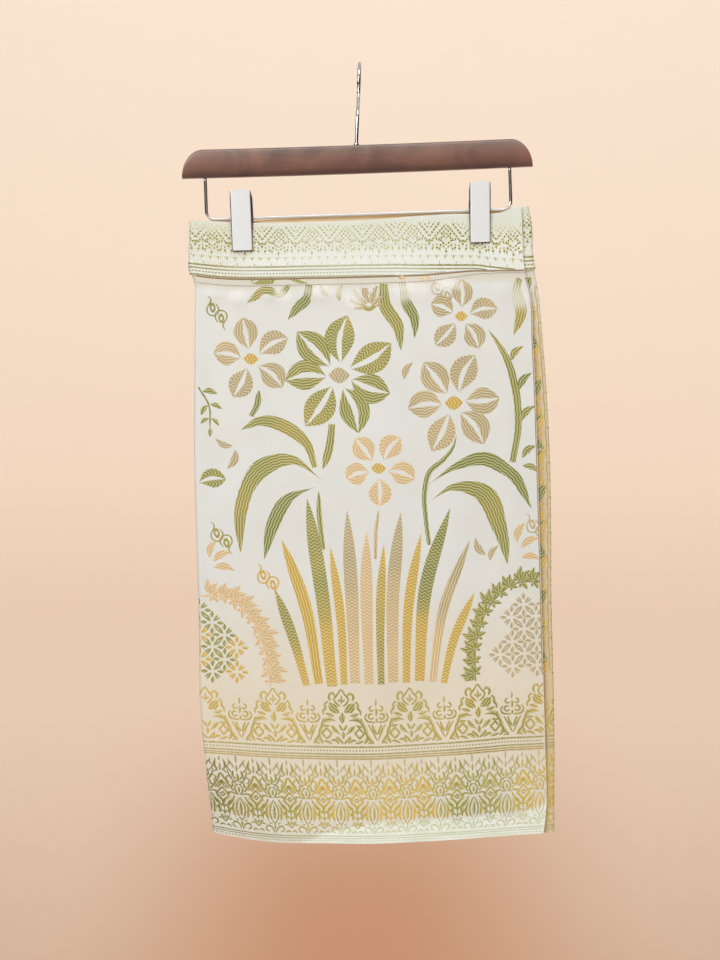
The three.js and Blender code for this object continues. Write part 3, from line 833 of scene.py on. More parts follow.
def tallFlower():
    # the lower border's first motif, 64 high: a lens in a fan of petals, a tulip and a spike
    half = stroke([(0.4, 23.0), (4.2, 13.6), (3.2, 5.6), (0.4, 0.8)], 1.7)
    half += leaf([(3.2, 21.4), (7.6, 13.6), (6.0, 2.4)], 3.4, "zoneGold", fat=0.62)
    half += drawn(
        (3.2, 0.6, (5.4, 22.6), (12.0, 15.6), (11.4, 4.2)),
        (2.8, 0.6, (8.0, 23.0), (15.6, 18.6), (16.6, 9.4)),
        (1.8, 0, (2.2, 25.6), (8.0, 27.4), (14.0, 24.4)),
        (1.9, 0, (0.4, 36.4), (3.8, 33.0), (3.2, 28.6), (0.6, 25.6)),
        (1.9, 0, (1.0, 39.0), (5.2, 38.2), (6.2, 33.6), (10.2, 32.4)))
    half += stroke([(5.6, 42.4), (9.6, 43.4), (11.6, 39.6), (8.6, 37.2)], 1.9, "zoneTan")
    half += leaf([(1.6, 40.4), (5.0, 44.4), (3.6, 50.0)], 2.8)
    half += leaf([(4.6, 46.6), (8.2, 50.2), (11.0, 55.4)], 2.0, "zoneTan")
    half += leaf([(9.6, 46.2), (12.6, 48.2), (14.8, 51.6)], 1.8, "zoneTan")
    half += leaf([(2.2, 51.4), (4.4, 55.2), (7.2, 59.4)], 1.9, "zoneTan")
    half += stroke([(11.8, 30.4), (15.2, 33.6), (16.8, 38.2)], 1.6)
    middle = drawn(
        (3.6, 0.45, (0, 4.6), (0, 19.6)), (2.8, 0.5, (0, 27.6), (0, 34.0)))
    middle += leaf([(0, 38.4), (0, 47.0)], 3.6, "zoneGold", fat=0.4)
    middle += leaf([(0, 48.4), (0, 55.6)], 2.0)
    middle += leaf([(0, 56.6), (0, 66.0)], 2.0, "zoneTan")
    return mirrored(half) + middle


def ringFlower():
    # the lower border's second motif: a diamond ring under a gable, with two prongs above
    half = stroke([(11.2, 29.0), (5.6, 36.6), (0.3, 46.0)], 2.8, "zoneGold")
    half += stroke([(6.6, 30.8), (0.3, 38.8)], 2.0, "zoneGold")
    half += drawn(
        (1.6, 0, (14.6, 36.0), (9.6, 42.4), (6.8, 50.0)),
        (2.8, 0.5, (1.8, 47.6), (5.4, 53.0), (3.6, 61.0)))
    half += leaf([(7.0, 52.6), (9.6, 56.4), (8.6, 61.4)], 1.8, "zoneTan")
    half += drawn(
        (2.3, 0, (0.4, 12.6), (5.2, 14.8), (9.2, 19.6), (11.6, 24.4)),
        (2.8, 0.5, (0.8, 6.4), (4.4, 8.4), (8.2, 12.8)), (2.2, 0.5, (0.8, 0.4), (3.4, 2.4), (5.0, 6.4)))
    middle = diamond(0, 24.6, 6.6, 7.0, 2.3, "zoneGold")
    middle += diamond(0, 24.6, 2.0, 2.2, 1.6)
    middle += leaf([(0, 47.6), (0, 56.4)], 2.2)
    middle += leaf([(0, 58.0), (0, 63.6)], 1.8, "zoneTan")
    middle += leaf([(0, -1.0), (0, 10.6)], 2.6)
    return mirrored(half) + middle


def footScroll():
    # a low wave of curls under the lower border, one period wide
    half = drawn(
        (1.8, 0, (0.6, 1.0), (3.6, 6.6), (8.0, 7.6), (9.4, 3.6), (6.0, 2.0)),
        (1.8, 0, (9.8, 8.8), (13.6, 9.8), (17.2, 6.0)),
        (2.2, 0.5, (11.0, 1.4), (14.6, 3.6), (16.8, 2.0)), (1.6, 0.5, (2.6, 9.4), (6.0, 10.6)))
    return mirrored(half) + leaf([(0, 3.4), (0, 10.8)], 2.2)


def chevronFlower():
    # the waistband's first motif: three nested chevrons over curls and prongs
    half = drawn(
        (1.9, 0, (11.4, 53.6), (5.4, 46.6), (0.3, 39.8)), (1.6, 0, (6.2, 53.8), (0.3, 46.8)),
        (1.5, 0, (15.2, 50.2), (8.6, 42.4), (2.6, 35.6)),
        (1.7, 0, (13.6, 41.4), (11.6, 36.6), (7.6, 36.8), (7.2, 40.2)),
        (2.0, 0.5, (3.0, 25.0), (4.2, 32.6)), (1.9, 0.5, (8.4, 25.6), (7.6, 33.0)),
        (1.5, 0.5, (12.8, 28.2), (10.6, 33.8)), (2.2, 0.5, (0.8, 33.4), (4.4, 37.2)))
    middle = drawn(
        (2.8, 0.6, (0, 29.4), (0, 37.6)), (1.6, 0.5, (0, 49.8), (0, 54.4)))
    return mirrored(half) + middle


def latticeFlower():
    # the waistband's second motif: a nested diamond over arcs and a bud
    half = drawn(
        (1.5, 0, (7.2, 38.2), (3.4, 33.8), (0.2, 31.4)), (1.4, 0, (4.8, 31.8), (0.2, 27.6)),
        (1.6, 0.5, (6.0, 24.8), (7.6, 30.2)), (1.5, 0.5, (5.4, 50.0), (9.6, 53.6)))
    middle = diamond(0, 44.6, 6.6, 7.0, 1.5)
    middle += diamond(0, 44.6, 2.8, 3.0, 1.3)
    middle += leaf([(0, 22.4), (0, 27.4)], 2.0)
    return mirrored(half) + middle


# How far apart the motifs stand, on the waistband and on the lower rows, and where their feet are.
borderPlan = {
    "period": 35.0, "lowPeriod": 34.475, "bandFoot": 107.0, "rowFoot": 585.0, "borderFoot": 666.8,
    "hemFoot": 676.2, "picotPace": 4.1,
}


def rowOf(first, second, low, high, foot, period, shift=0.0):
    # two motifs in turn along a row, from low to high across the cloth
    made = []
    for i in range(int(np.floor((low - shift) / period)), int(np.ceil((high - shift) / period)) + 1):
        x = shift + i * period
        if low < x < high:
            made += moved(first, (x, -foot))
        if low < x + period / 2 < high:
            made += moved(second, (x + period / 2, -foot))
    return made


def smallRow(low, high, foot):
    # the waistband's low row of buds and sprigs, with ticks under it
    sprig = leaf([(0, 17.4), (0, 22.4)], 1.5)
    for side in (-1, 1):
        sprig += stroke([(side * 2.4, 21.6), (side * 1.2, 19.4)], 1.1)
    made = []
    for i, x in enumerate(np.arange(low, high, borderPlan["period"] / 4)):
        made += moved(sprig, (x, -foot))
        if i % 2 == 0:
            made += moved(stroke([(0, 13.0), (0, 15.4)], 1.1, "tick"), (x + 2.2, -foot))
    return made


def waistbandFigures(low, high):
    foot = borderPlan["bandFoot"]
    row = rowOf(thicker(chevronFlower(), 1.25), thicker(latticeFlower(), 1.25), low, high, foot,
                borderPlan["period"], shift=4.0)
    return row + smallRow(low, high, foot)


def footRowFigures(low, high):
    first = moved(thicker(bigPalmette(), 1.24), size=1.02)
    second = thicker(smallPalmette(), 1.14)
    return rowOf(first, second, low, high, borderPlan["rowFoot"], 2 * borderPlan["lowPeriod"], shift=-33.8)


def lowerBorderFigures(low, high):
    first = moved(thicker(tallFlower(), 1.3), size=1.03)
    second = moved(thicker(ringFlower(), 1.26), size=1.03)
    return rowOf(first, second, low, high, borderPlan["borderFoot"], borderPlan["lowPeriod"], shift=-8.0)


def hemFigures(low, high):
    motif = thicker(footScroll(), 1.2)
    return rowOf(motif, [], low, high, borderPlan["hemFoot"], borderPlan["lowPeriod"], shift=-8.0)


def picots(low, high):
    # the scalloped woven edge along the waistband's top
    made = []
    loop = [(-1.5, -51.2), (-1.0, -50.0), (0, -49.6), (1.0, -50.0), (1.5, -51.2)]
    for along in np.arange(low + 1, high - 1, borderPlan["picotPace"]):
        made += moved(stroke(loop, 1.1, "bright"), (along - pattern["middle"], 0))
    return made


def sideFigures(middle, low, high):
    # leaves that cross the narrow stretch beside the free edge
    made = []
    pace = 18.0
    for i, y in enumerate(np.arange(low, high, pace)):
        lean = (9, -7, 10, -9)[i % 4]
        made += longLeaf([(middle - 10, -y - lean), (middle - 2, -y - 2), (middle + 5, -y + lean)], 7.5,
                         ("leaf", "gold", "gold")[i % 3], fat=0.5, blunt=0.6, weave=float(i % 2))
        made += leaf([(middle - 6, -y - 14), (middle + 4, -y - 9)], 5.5, ("gold", "leaf")[i % 2])
        made += stroke([(middle + 7.6, -y - 20), (middle + 6.6, -y - 10), (middle + 7.6, -y)], 1.6, "line")
        for across, down in ((11, 3), (14, 9), (12, 15)):
            x = middle + across
            made += stroke([(x - 2.5, -y - down), (x + 2.5, -y - down - 3)], 2.6, ("green", "gold")[i % 2])
    return made


# The field: flowers and broad leaves over a fan of long leaves, with a garlanded lattice in each
# lower corner. y is minus the drop here.

def longLeaf(points, width, tone, fat=0.5, weave=0.0, blunt=0.0):
    # a leaf that keeps its width for long; blunt is the share of the width left at its foot
    centre = curveThrough(points, 48)
    t = np.linspace(0, 1, 48)
    tip = 1 - ((t - fat).clip(0) / (1 - fat)) ** 2.4
    half = 1.3 * width / 2 * np.minimum(mix(blunt, 1, smoothStep(0, fat, t)), tip)
    return [makeStrip(centre, np.maximum(half, 0.12), np.maximum(half, 0.12), tone, weave)]


def footFan():
    # long leaves that rise from the field's foot and lean apart: where a leaf's foot, middle and tip
    # are, its width, its colours and its weave
    made = []
    for foot, midX, midY, tipX, tipY, width, tone, weave in (
            (-67, -79, -484, -98, -428, 10, ("gold", "green"), 1),
            (-55, -68, -444, -90, -376, 12, "gold", 0),
            (-42, -51, -430, -63, -334, 15, ("gold", "green"), 1),
            (-30, -33, -452, -41, -384, 9, "gold", 1),
            (-19, -21, -430, -23, -346, 13, ("peach", "tan"), 1),
            (-5, -6, -440, -4, -368, 12, "peach", 1),
            (7, 8, -442, 13, -382, 9, ("green", "gold"), 1),
            (19, 21, -430, 31, -350, 14, ("peach", "tan"), 1),
            (32, 37, -440, 51, -372, 10, "gold", 1),
            (45, 55, -424, 81, -348, 13, ("gold", "leaf"), 1),
            (58, 71, -452, 100, -382, 10, ("peach", "tan"), 0),
            (69, 82, -480, 103, -436, 9, "gold", 1)):
        made += longLeaf([(foot, -530), (midX, midY), (tipX, tipY)], width, tone, fat=0.62, weave=weave,
                         blunt=0.72)
    return made


def bigLeaves():
    # arching leaves, then stems, then the leaves that hang in from the top: width, colour, where
    # each is widest, how blunt its foot is and the points it runs through
    made = []
    for width, tone, fat, blunt, points in (
            (18, "green", 0.5, 0, [(60, -340), (84, -327), (114, -334), (132, -370), (138, -408)]),
            (14, "leaf", 0.5, 0, [(60, -322), (88, -306), (118, -300), (146, -318), (164, -352)]),
            (18, "green", 0.45, 0, [(-46, -316), (-78, -294), (-110, -304), (-130, -346), (-132, -390)]),
            (13, "leaf", 0.45, 0, [(-54, -322), (-82, -334), (-98, -360), (-108, -396)]),
            (13, "green", 0.5, 0.4, [(-54, -302), (-62, -278), (-82, -261), (-108, -254), (-128, -263)]),
            (8, "green", 0.6, 0.8, [(-36, -258), (-39, -282), (-46, -304)]),
            (6, "leaf", 0.6, 0.8, [(-118, -249), (-112, -238), (-110, -222)]),
            (5, "leaf", 0.6, 0.8, [(59, -384), (56.5, -358), (56, -330), (62, -309), (76, -298), (86, -286),
                                   (90, -274)]),
            (5, "green", 0.6, 0.8, [(-48, -386), (-51, -350), (-51, -326)]),
            (3.6, "tan", 0.6, 0.8, [(4, -396), (6, -364), (9, -346)]),
            (7.5, "green", 0.6, 0.8, [(146, -304), (153, -266), (151, -228), (141, -192), (126, -168)]),
            (13, "green", 0.4, 0.6, [(22, -112), (20, -136), (33, -160), (36, -184)]),
            (11, "leaf", 0.4, 0.6, [(41, -112), (42, -134), (50, -152), (50, -172)]),
            (12, "green", 0.5, 0.4, [(-76, -112), (-88, -124), (-104, -122), (-122, -132)]),
            (11, "leaf", 0.4, 0.6, [(-56, -112), (-59, -126), (-70, -138), (-80, -150)]),
            (12, "green", 0.45, 0.4, [(166, -112), (158, -128), (160, -150), (152, -174)])):
        made += longLeaf(points, width, tone, fat=fat, blunt=blunt)
    return made


def fern(points, count, long, wide, tone):
    # a stem with pairs of leaflets that shorten towards its tip
    made = stroke(points, 2.4, tone, tips=(1, 0.5))
    centre = curveThrough(points, count * 6 + 1)
    turn = bearingOf(centre)
    for i in range(count):
        size = long * (1 - 0.45 * i / count)
        for side in (-1, 1):
            leaflet = leaf([(1.5, 0), (size * 0.5, side * 0.1 * size), (size, 0)], wide * size / long, tone)
            made += moved(leaflet, centre[i * 6 + 2], turn[i * 6 + 2] + side * 52)
    return made + moved(leaf([(0, 0), (long * 0.6, 0)], wide * 0.7, tone), centre[-1], turn[-1])


def lotusSide(size, tone, cup):
    # a flower seen from the side: petals that open upward from a cup
    made = []
    for turn, long, wide in ((90, 1.0, 0.42), (58, 0.96, 0.36), (122, 0.96, 0.36), (28, 0.84, 0.3),
                             (152, 0.84, 0.3), (4, 0.62, 0.22), (176, 0.62, 0.22)):
        made += moved(leaf([(0.2, 0), (0.6, 0.05), (1, 0)], wide, tone, fat=0.6), turn=turn, size=long)
    made += leaf([(-0.22, 0.02), (0, -0.08), (0.22, 0.02)], 0.14, cup)
    return moved(made, size=size)


def looseSprays():
    # a flower and a fern, then single leaves: place, turn, length and colour
    made = moved(lotusSide(25, "tan", "green"), (4, -139), turn=6)
    made += fern([(-172, -222), (-161, -240), (-160, -262)], 3, 17, 8, "green")
    for x, y, turn, size, tone in ((-137, -280, 160, 19, "tan"), (-134, -284, 246, 22, "tan"),
                                   (38, -214, 62, 20, "tan"), (-26, -132, 76, 18, "tan"),
                                   (-36, -128, 120, 18, "tan"), (156, -300, 40, 20, "green"),
                                   (156, -308, -24, 18, "green"), (156, -262, 46, 21, "green"),
                                   (155, -230, 52, 22, "leaf"), (148, -200, 48, 20, "green"),
                                   (148, -386, 66, 22, "peach"), (152, -392, 26, 22, "peach"),
                                   (152, -402, -8, 20, "peach"), (116, -398, 120, 21, "tan"),
                                   (120, -404, 60, 18, "tan"), (-160, -400, 30, 22, "peach"),
                                   (-160, -406, -6, 22, "peach"), (-164, -396, 66, 20, "peach")):
        single = leaf([(0, 0), (size * 0.5, size * 0.14), (size, 0)], size * 0.44, tone, fat=0.45)
        made += moved(single, (x, y), turn)
    return made


def flowers():
    # place, petals, their reach and width, colour, core, start, turn, rib and where petals are widest
    made = []
    for x, y, petals, reach, width, tone, core, start, turn, rib, fat in (
            (-28, -208, 7, 60, 34, "green", 22, 13, 82, 2.6, 0.52),
            (88, -241, 6, 51, 31, "tan", 19, 12, 64, 2.0, 0.52),
            (-118, -190, 5, 42, 28, "tan", 16, 10, 30, 1.6, 0.55),
            (98, -153, 5, 37, 25, "tan", 14, 9, 10, 1.4, 0.55),
            (-182, -322, 6, 37, 22, "green", 15, 10, 12, 1.6, 0.55),
            (10, -304, 5, 37, 26, "peach", 15, 10, 54, 1.5, 0.55)):
        made += moved(petalFlower(petals, reach, width, tone, core, start, turn, rib, fat), (x, y))
    return made


def scrolls():
    made = []
    for x, y, turn, tone in ((-160, -140, 4, "green"), (-158, -372, 8, "green"), (-112, -414, 6, "gold"),
                             (162, -370, 10, "tan"), (74, -122, 6, "tan")):
        made += moved(scrollPair(11.5, tone), (x, y), turn)
    return made


def cornerLattice(side):
    # a garland that arches over rows of rosettes, in peach and gold on the left, green on the right
    if side < 0:
        made = garland([(-176, -436), (-148, -436), (-124, -456), (-109, -492), (-104, -534)], "peach",
                       pace=12, leafLength=17, leafWidth=9)
        edgeAt = ([440, 455, 480, 505, 530], [-158, -144, -130, -124, -120])
        first, tonesHere = -176, ("green", "gold")
    else:
        made = garland([(102, -530), (104, -486), (120, -448), (146, -428), (176, -428)], "green",
                       pace=12, leafLength=15, leafWidth=8)
        edgeAt = ([440, 456, 484, 524], [152, 136, 126, 122])
        first, tonesHere = 128, ("tan", "tan")
    pace, size = 25.0, 12.0
    for row in range(7):
        y = -450 - row * pace / 2
        for column in range(8):
            x = first + column * pace + (pace / 2 if row % 2 else 0)
            edge = np.interp(-y, *edgeAt)
            inside = x < edge - 5 if side < 0 else x > edge + 1
            if inside and abs(x) < 180 and y > -522:
                tone = tonesHere[int((row * 1.3 + column) % 3 > 1.4)]
                made += moved(rosette(size, tone), (x, y))
    return made


def fieldFigures():
    made = footFan() + bigLeaves() + looseSprays() + flowers() + scrolls()
    return made + cornerLattice(-1) + cornerLattice(1)


# Laying the figures on the cloth.

# How much of the thread is gold, and how pale it is painted where the satin glares (painted highlight), at
# places across each row.
rowColours = {
    "waist": np.array([[-176, 0.15, 0.0], [-110, 0.05, 0.0], [-62, 0.05, 0.42], [0, 0.1, 0.55],
                       [56, 0.05, 0.42], [84, 0.0, 0.0], [120, 0.0, 0.0], [150, 0.15, 0.0],
                       [178, 0.35, 0.0]]),
    "foot": np.array([[-176, 0.85, 0.1], [-89, 0.8, 0.15], [-50, 0.45, 0.1], [-19, 0.2, 0.0],
                      [22, 0.35, 0.1], [53, 0.7, 0.15], [92, 0.3, 0.0], [120, 0.1, 0.0], [160, 0.6, 0.1],
                      [188, 0.95, 0.0]]),
    "lower": np.array([[-176, 0.05, 0.0], [-110, 0.1, 0.0], [-80, 0.55, 0.0], [-36, 0.35, 0.05],
                       [11, 0.9, 0.1], [46, 0.4, 0.05], [82, 0.1, 0.0], [132, 0.15, 0.1],
                       [165, 0.85, 0.1]]),
}


def drift(x, y):
    # a slow cloud between -1 and 1
    return (np.sin(x / 23 + 1.3) * np.sin(y / 31 + 0.4) + 0.6 * np.sin((x + 1.7 * y) / 19)
            * np.cos((x - y) / 41)) / 1.6


# Where the satin shines below the waistband: middle, drop, half width and half height.
glares = ((-40, 122, 22, 9), (-12, 128, 12, 14), (48, 124, 26, 12), (88, 120, 18, 8), (-84, 126, 12, 7),
          (162, 134, 9, 16), (-130, 124, 14, 8))


def glareAt(x, drop):
    total = np.zeros(np.shape(x))
    for middle, low, wide, high in glares:
        total = np.maximum(total, hump(middle, wide, x) * hump(low, high, drop))
    return 0.85 * smoothStep(0.2, 0.85, total)


def glarePaleness(row, x, y):
    # painted highlight: where the threads are painted pale for the satin's glare: the waistband's middle
    # and the foot of the hem towards the right
    known = rowColours[row]
    pale = np.interp(x, known[:, 0], known[:, 2])
    if row == "waist":
        high = smoothStep(64, 57, -y) * (smoothStep(-90, -118, x) + smoothStep(92, 118, x))
        return np.maximum(pale, 0.8 * high)
    if row != "lower":
        return pale
    boundary = np.interp(x, [-200, -105, -72, -45, -10, 88, 150, 170, 200],
                         [700, 692, 679, 670, 666, 663, 662, 652, 649]) + 3 * drift(3 * x, y)
    boundary = np.where(x > -176, boundary, 700)
    return np.maximum(pale, 0.86 * smoothStep(-3, 3, -y - boundary))


def sagAt(row, x):
    # the waistband's foot is rolled under towards the free edge, so its figures lie lower there
    if row != "waist":
        return 0 * x
    return np.interp(x, [0, 40, 75, 100, 125, 150, 168], [0, 1.0, 3.0, 5.2, 6.8, 10.0, 12.0])


def toneOf(tone, row, x, y):
    # the thread's colour at every sample of a strip
    if tone in ("zone", "zoneGold", "zoneTan", "line", "edge", "tick"):
        known = rowColours[row]
        across = np.where(x > -180, x, 175 + 30 * np.sin(x / 60))
        gold = np.interp(across, known[:, 0], known[:, 1]) + 0.25 * drift(x * 1.6, y)
        gold = np.clip(gold + (0.28 if tone == "zoneGold" else 0), 0, 1)[:, None]
        colour = mix(tones["green"], tones["gold"], gold)
        if tone == "zoneTan":
            colour = mix(colour, tones["tan"], 0.55)
        elif tone in tones:
            colour = mix(tones[tone], colour, 0.35)
        if row == "waist":
            colour = colour * 0.86
            if tone == "line":
                colour = mix(colour, tones["mint"], 0.5 * hump(-118, 20, x)[:, None])
        if row == "lower":
            colour = colour * mix(0.74, 1.15, smoothStep(-176, -70, across))[:, None]
        # painted highlight: the threads wash to mint where the satin glares
        return mix(colour, tones["mint"], np.clip(glarePaleness(row, x, y), 0, 1)[:, None])
    if isinstance(tone, tuple):
        share = smoothStep(0.1, 0.8, np.linspace(0, 1, len(x))) + 0.4 * drift(1.5 * x, 1.5 * y)
        share = np.clip(share, 0, 1)[:, None]
        return mix(tones[tone[0]], tones[tone[1]], share)
    other = {"green": "gold", "leaf": "green", "tan": "peach"}.get(tone, tone)
    share = np.clip(0.5 * drift(x, y), 0, 0.5)[:, None]
    colour = mix(np.broadcast_to(tones[tone], (len(x), 3)), tones[other], share)
    # painted highlight: the threads wash pale in the gleams under the waistband
    return mix(colour, tones["bright"], glareAt(x, -y)[:, None])


def refined(strip, top, foot):
    # closer samples where the cloth turns round a fold, and where a strip meets the hem's seam. A
    # broad strip is left out at a fold.
    along = strip["centre"][:, 0] + pattern["middle"]
    turns = ((toBack, 0), (toUnder - 0.5, toRight + 0.4))
    reach = np.maximum(strip["left"], strip["right"])
    turning = any((along + reach > a - 0.5).any() and (along - reach < b + 0.5).any() for a, b in turns)
    drop = -strip["centre"][:, 1]
    seams = any(drop.min() < seam < drop.max() for seam in (top, foot)) and foot > 640
    if not turning and not seams:
        return strip
    if turning and reach.max() > 2.6:
        return None
    at = distanceAlong(strip["centre"])
    want = np.linspace(0, at[-1], max(3, int(at[-1] / (1.0 if turning else 0.7))))
    new = {key: np.interp(want, at, strip[key]) for key in ("left", "right")}
    centre = np.stack([np.interp(want, at, strip["centre"][:, i]) for i in (0, 1)], -1)
    return {**strip, **new, "centre": centre}


def shownRun(strip, row, limits):
    # the longest run of a strip's samples that lie within the limits
    low, high, top, foot = limits
    x, y = strip["centre"].T
    along, drop = x + pattern["middle"], sagAt(row, x) - y
    inside = np.flatnonzero((along > low) & (along < high) & (drop > top) & (drop < foot))
    return max(np.split(inside, np.flatnonzero(np.diff(inside) > 1) + 1), key=len)


def layFigures(name, strips, base, limits, row, material):
    # limits are the lowest and highest along and drop that a figure may reach. Each strip is a low
    # roof on the cloth: two sunken sides and a ridge whose height is leastHeight + slope x half
    # width, up to plateHeight.
    low, high, top, foot = limits
    points, faces, uvs, colours, rims, count = [], [], [], [], [], 0
    for strip in strips:
        strip = refined(strip, top, foot)
        run = [] if strip is None else shownRun(strip, row, limits)
        if len(run) < 2:
            continue
        centre, aside = strip["centre"][run], sidewaysOf(strip["centre"])[run]
        left, right = strip["left"][run], strip["right"][run]
        dashed = row == "waist" and str(strip["tone"]).startswith("zone")
        if dashed:
            # bolder towards both ends of the band
            grown = mix(1.22, 0.95, smoothStep(0, 0.4, glarePaleness(row, centre[:, 0], centre[:, 1])))
            left, right = left * grown, right * grown
        middle = centre + aside * ((left - right) / 2)[:, None]
        half = (left + right) / 2
        flat = np.stack([centre + aside * left[:, None], middle, centre - aside * right[:, None]], 1)
        sag = sagAt(row, strip["centre"][:, 0])[run, None]
        flat[..., 0] = np.clip(flat[..., 0] + pattern["middle"], low - 0.01, high + 0.01)
        flat[..., 1] = np.clip(sag - flat[..., 1], top - 0.01, foot + 0.01)
        ridge = np.minimum(pattern["plateHeight"], pattern["leastHeight"] + pattern["slope"] * half)
        sunk = np.full(len(run), -pattern["sunk"])
        lift = np.stack([sunk, ridge, sunk], 1)
        at = distanceAlong(centre)
        uv = np.stack([np.stack([half, 0 * half, -half], 1), np.repeat(at[:, None], 3, 1)], -1)
        colour = toneOf(strip["tone"], row, centre[:, 0], centre[:, 1])
        weave = np.full((len(run), 1), 2.0 if dashed else strip["weave"])
        points.append(np.concatenate([flat, (base + lift)[..., None]], -1).reshape(-1, 3))
        uvs.append(uv.reshape(-1, 2))
        colours.append(np.repeat(np.concatenate([colour, weave], 1), 3, 0))
        rims.append(np.stack([0 * half, half, 0 * half], 1).ravel() + dashed)
        faces += [face[::-1] for face in gridFaces(len(run), 3, count, closedRound=True)]
        last = count + 3 * (len(run) - 1)
        faces += [[count, count + 1, count + 2], [last + 2, last + 1, last]]
        count += 3 * len(run)
    points = np.concatenate(points)
    placed = toFrame(clothPoint(points[:, 0], points[:, 1], points[:, 2]))
    piece = makePiece(name, placed, faces, material, uv=np.concatenate(uvs), weft=np.concatenate(colours),
                      rim=np.concatenate(rims))
    piece.data.set_sharp_from_angle(angle=np.radians(75))
    return piece


# pale is the colour of the pale lines, partly paler thread and partly a painted highlight
weftLook = {
    "pitch": 2.8, "wave": 9.0, "sway": 0.2, "chevronHalf": 3.2, "chevronSlope": 0.72, "chevronPace": 0.82,
    "lineHeight": 0.1, "deepLines": 0.88, "roughness": 0.36, "sheen": 0.1, "pale": rgb(252, 244, 200),
}


def weftMaterial():
    # threads in lines side by side, a deep one and a pale one in turn: along the strip in gentle
    # waves, or across it in chevrons, and a deep line round the rim. The pale lines are partly the
    # thread's paler tone and partly a painted highlight for the sheen of the floats. Where the
    # attribute's alpha is 2 the strip is broken into dashes.
    look = weftLook
    material, tree = newMaterial("weftThreads")
    place = addNode(tree, "SeparateXYZ", {0: clothPlace(tree)}).outputs
    across, along = place["X"], place["Y"]
    thread = addNode(tree, "VertexColor", layer_name="weft").outputs
    rim = attributeOf(tree, "rim")
    sums, ease, over = (partial(helper, tree) for helper in (calculate, between, mixed))

    zigzag = sums("PINGPONG", along, look["wave"] / 2)
    lengthwise = sums("ADD", across, sums("MULTIPLY", zigzag, look["sway"]))
    slant = sums("PINGPONG", sums("ABSOLUTE", across), look["chevronHalf"])
    slant = sums("MULTIPLY", slant, look["chevronSlope"])
    chevrons = sums("MULTIPLY_ADD", along, look["chevronPace"], slant)
    sockets = {"Factor": thread["Alpha"], 2: lengthwise, 3: chevrons}
    phase = addNode(tree, "Mix", sockets, data_type="FLOAT").outputs[0]
    wave = sums("COSINE", sums("MULTIPLY", phase, tau / look["pitch"]))
    deepAt = sums("MAXIMUM", ease(wave, -0.85, 0.3, 0.12), ease(rim, 0.35, 0.8, 1.0, 0.0))
    # the pale lines: partly paler thread, partly a painted highlight for the floats' sheen
    paleLinesAndSheen = over(ease(thread["Alpha"], 1.0, 2.0, 0.52, 0.9), thread["Color"], look["pale"])
    # the deep lines are darker on broad strips
    sockets = {0: thread["Color"], "Scale": ease(rim, 0.9, 2.2, 1.0, look["deepLines"])}
    deep = addNode(tree, "VectorMath", sockets, operation="SCALE").outputs[0]
    bump = bumpOf(tree, deepAt, look["lineHeight"] * millimetre)
    finishShader(tree, {"Base Color": over(deepAt, paleLinesAndSheen, deep), "Normal": bump.outputs["Normal"],
                        "Roughness": look["roughness"], "Sheen Weight": look["sheen"]})
    return material


def straightStrip(along, drop, width, tone):
    # an even strip through places on the cloth, where along and drop are rows or single numbers
    centre = np.stack(np.broadcast_arrays(along - pattern["middle"], -drop), -1)
    half = np.full(len(centre), width / 2)
    return makeStrip(centre, half, half, tone)


def lineAcross(low, high, drop, width, tone):
    return straightStrip(stationsBetween(low, high, 6.0), drop, width, tone)


def edgeLine(along, top, foot, width, tone):
    # a dark line down the free edge, partly the edge itself and partly its painted shadow
    return straightStrip(along, np.arange(top, foot, 6.0), width, tone)


def dotsAcross(low, high, drop, pace, long, width, tone):
    return [straightStrip(np.array([along, along + long]), drop, width, tone)
            for along in np.arange(low, high, pace)]


def stripesBetween(low, high):
    # the lines and dots under the foot row's feet
    made = [lineAcross(low, high, 587.2, 2.2, "line"), lineAcross(low, high, 594.4, 1.9, "line"),
            lineAcross(low, high, 597.0, 1.7, "edge"), lineAcross(low, high, 599.2, 1.8, "edge")]
    return made + dotsAcross(low + 1, high - 3, 590.9, 3.3, 1.7, 1.7, "line")


def hemStripes(low, high):
    made = [lineAcross(low, high, 677.6, 1.3, "line"), lineAcross(low, high, 679.8, 1.1, "line")]
    return made + dotsAcross(low + 1, high - 3, 682.2, 3.3, 1.7, 1.2, "line")


def bandStripes(low, high):
    made = [lineAcross(low, high, 95.4, 2.3, "line"), lineAcross(low, high, 99.0, 1.7, "line"),
            lineAcross(low, high, 105.9, 1.7, "edge")]
    return made + dotsAcross(low + 1, high - 3, 102.4, 3.3, 1.8, 1.6, "line")


# The hanger

def outward(points, faces):
    # turns a closed shape's faces outwards if its middle sees their fronts
    quads = np.array([face for face in faces if len(face) == 4])
    corner = points[quads] - points.mean(0)
    normal = np.cross(corner[:, 2] - corner[:, 0], corner[:, 3] - corner[:, 1])
    if (normal * corner.mean(1)).sum() < 0:
        faces = [face[::-1] for face in faces]
    return points, faces


def carriedCircle(path, first, second, radii, sides):
    # a circle at every place of a path: place + radius (cos a first + sin a second)
    angle = np.arange(sides) / sides * tau
    ring = np.cos(angle)[:, None] * first[:, None] + np.sin(angle)[:, None] * second[:, None]
    return outward(*ringSurface(path[:, None] + ring * np.broadcast_to(radii, len(path))[:, None, None]))


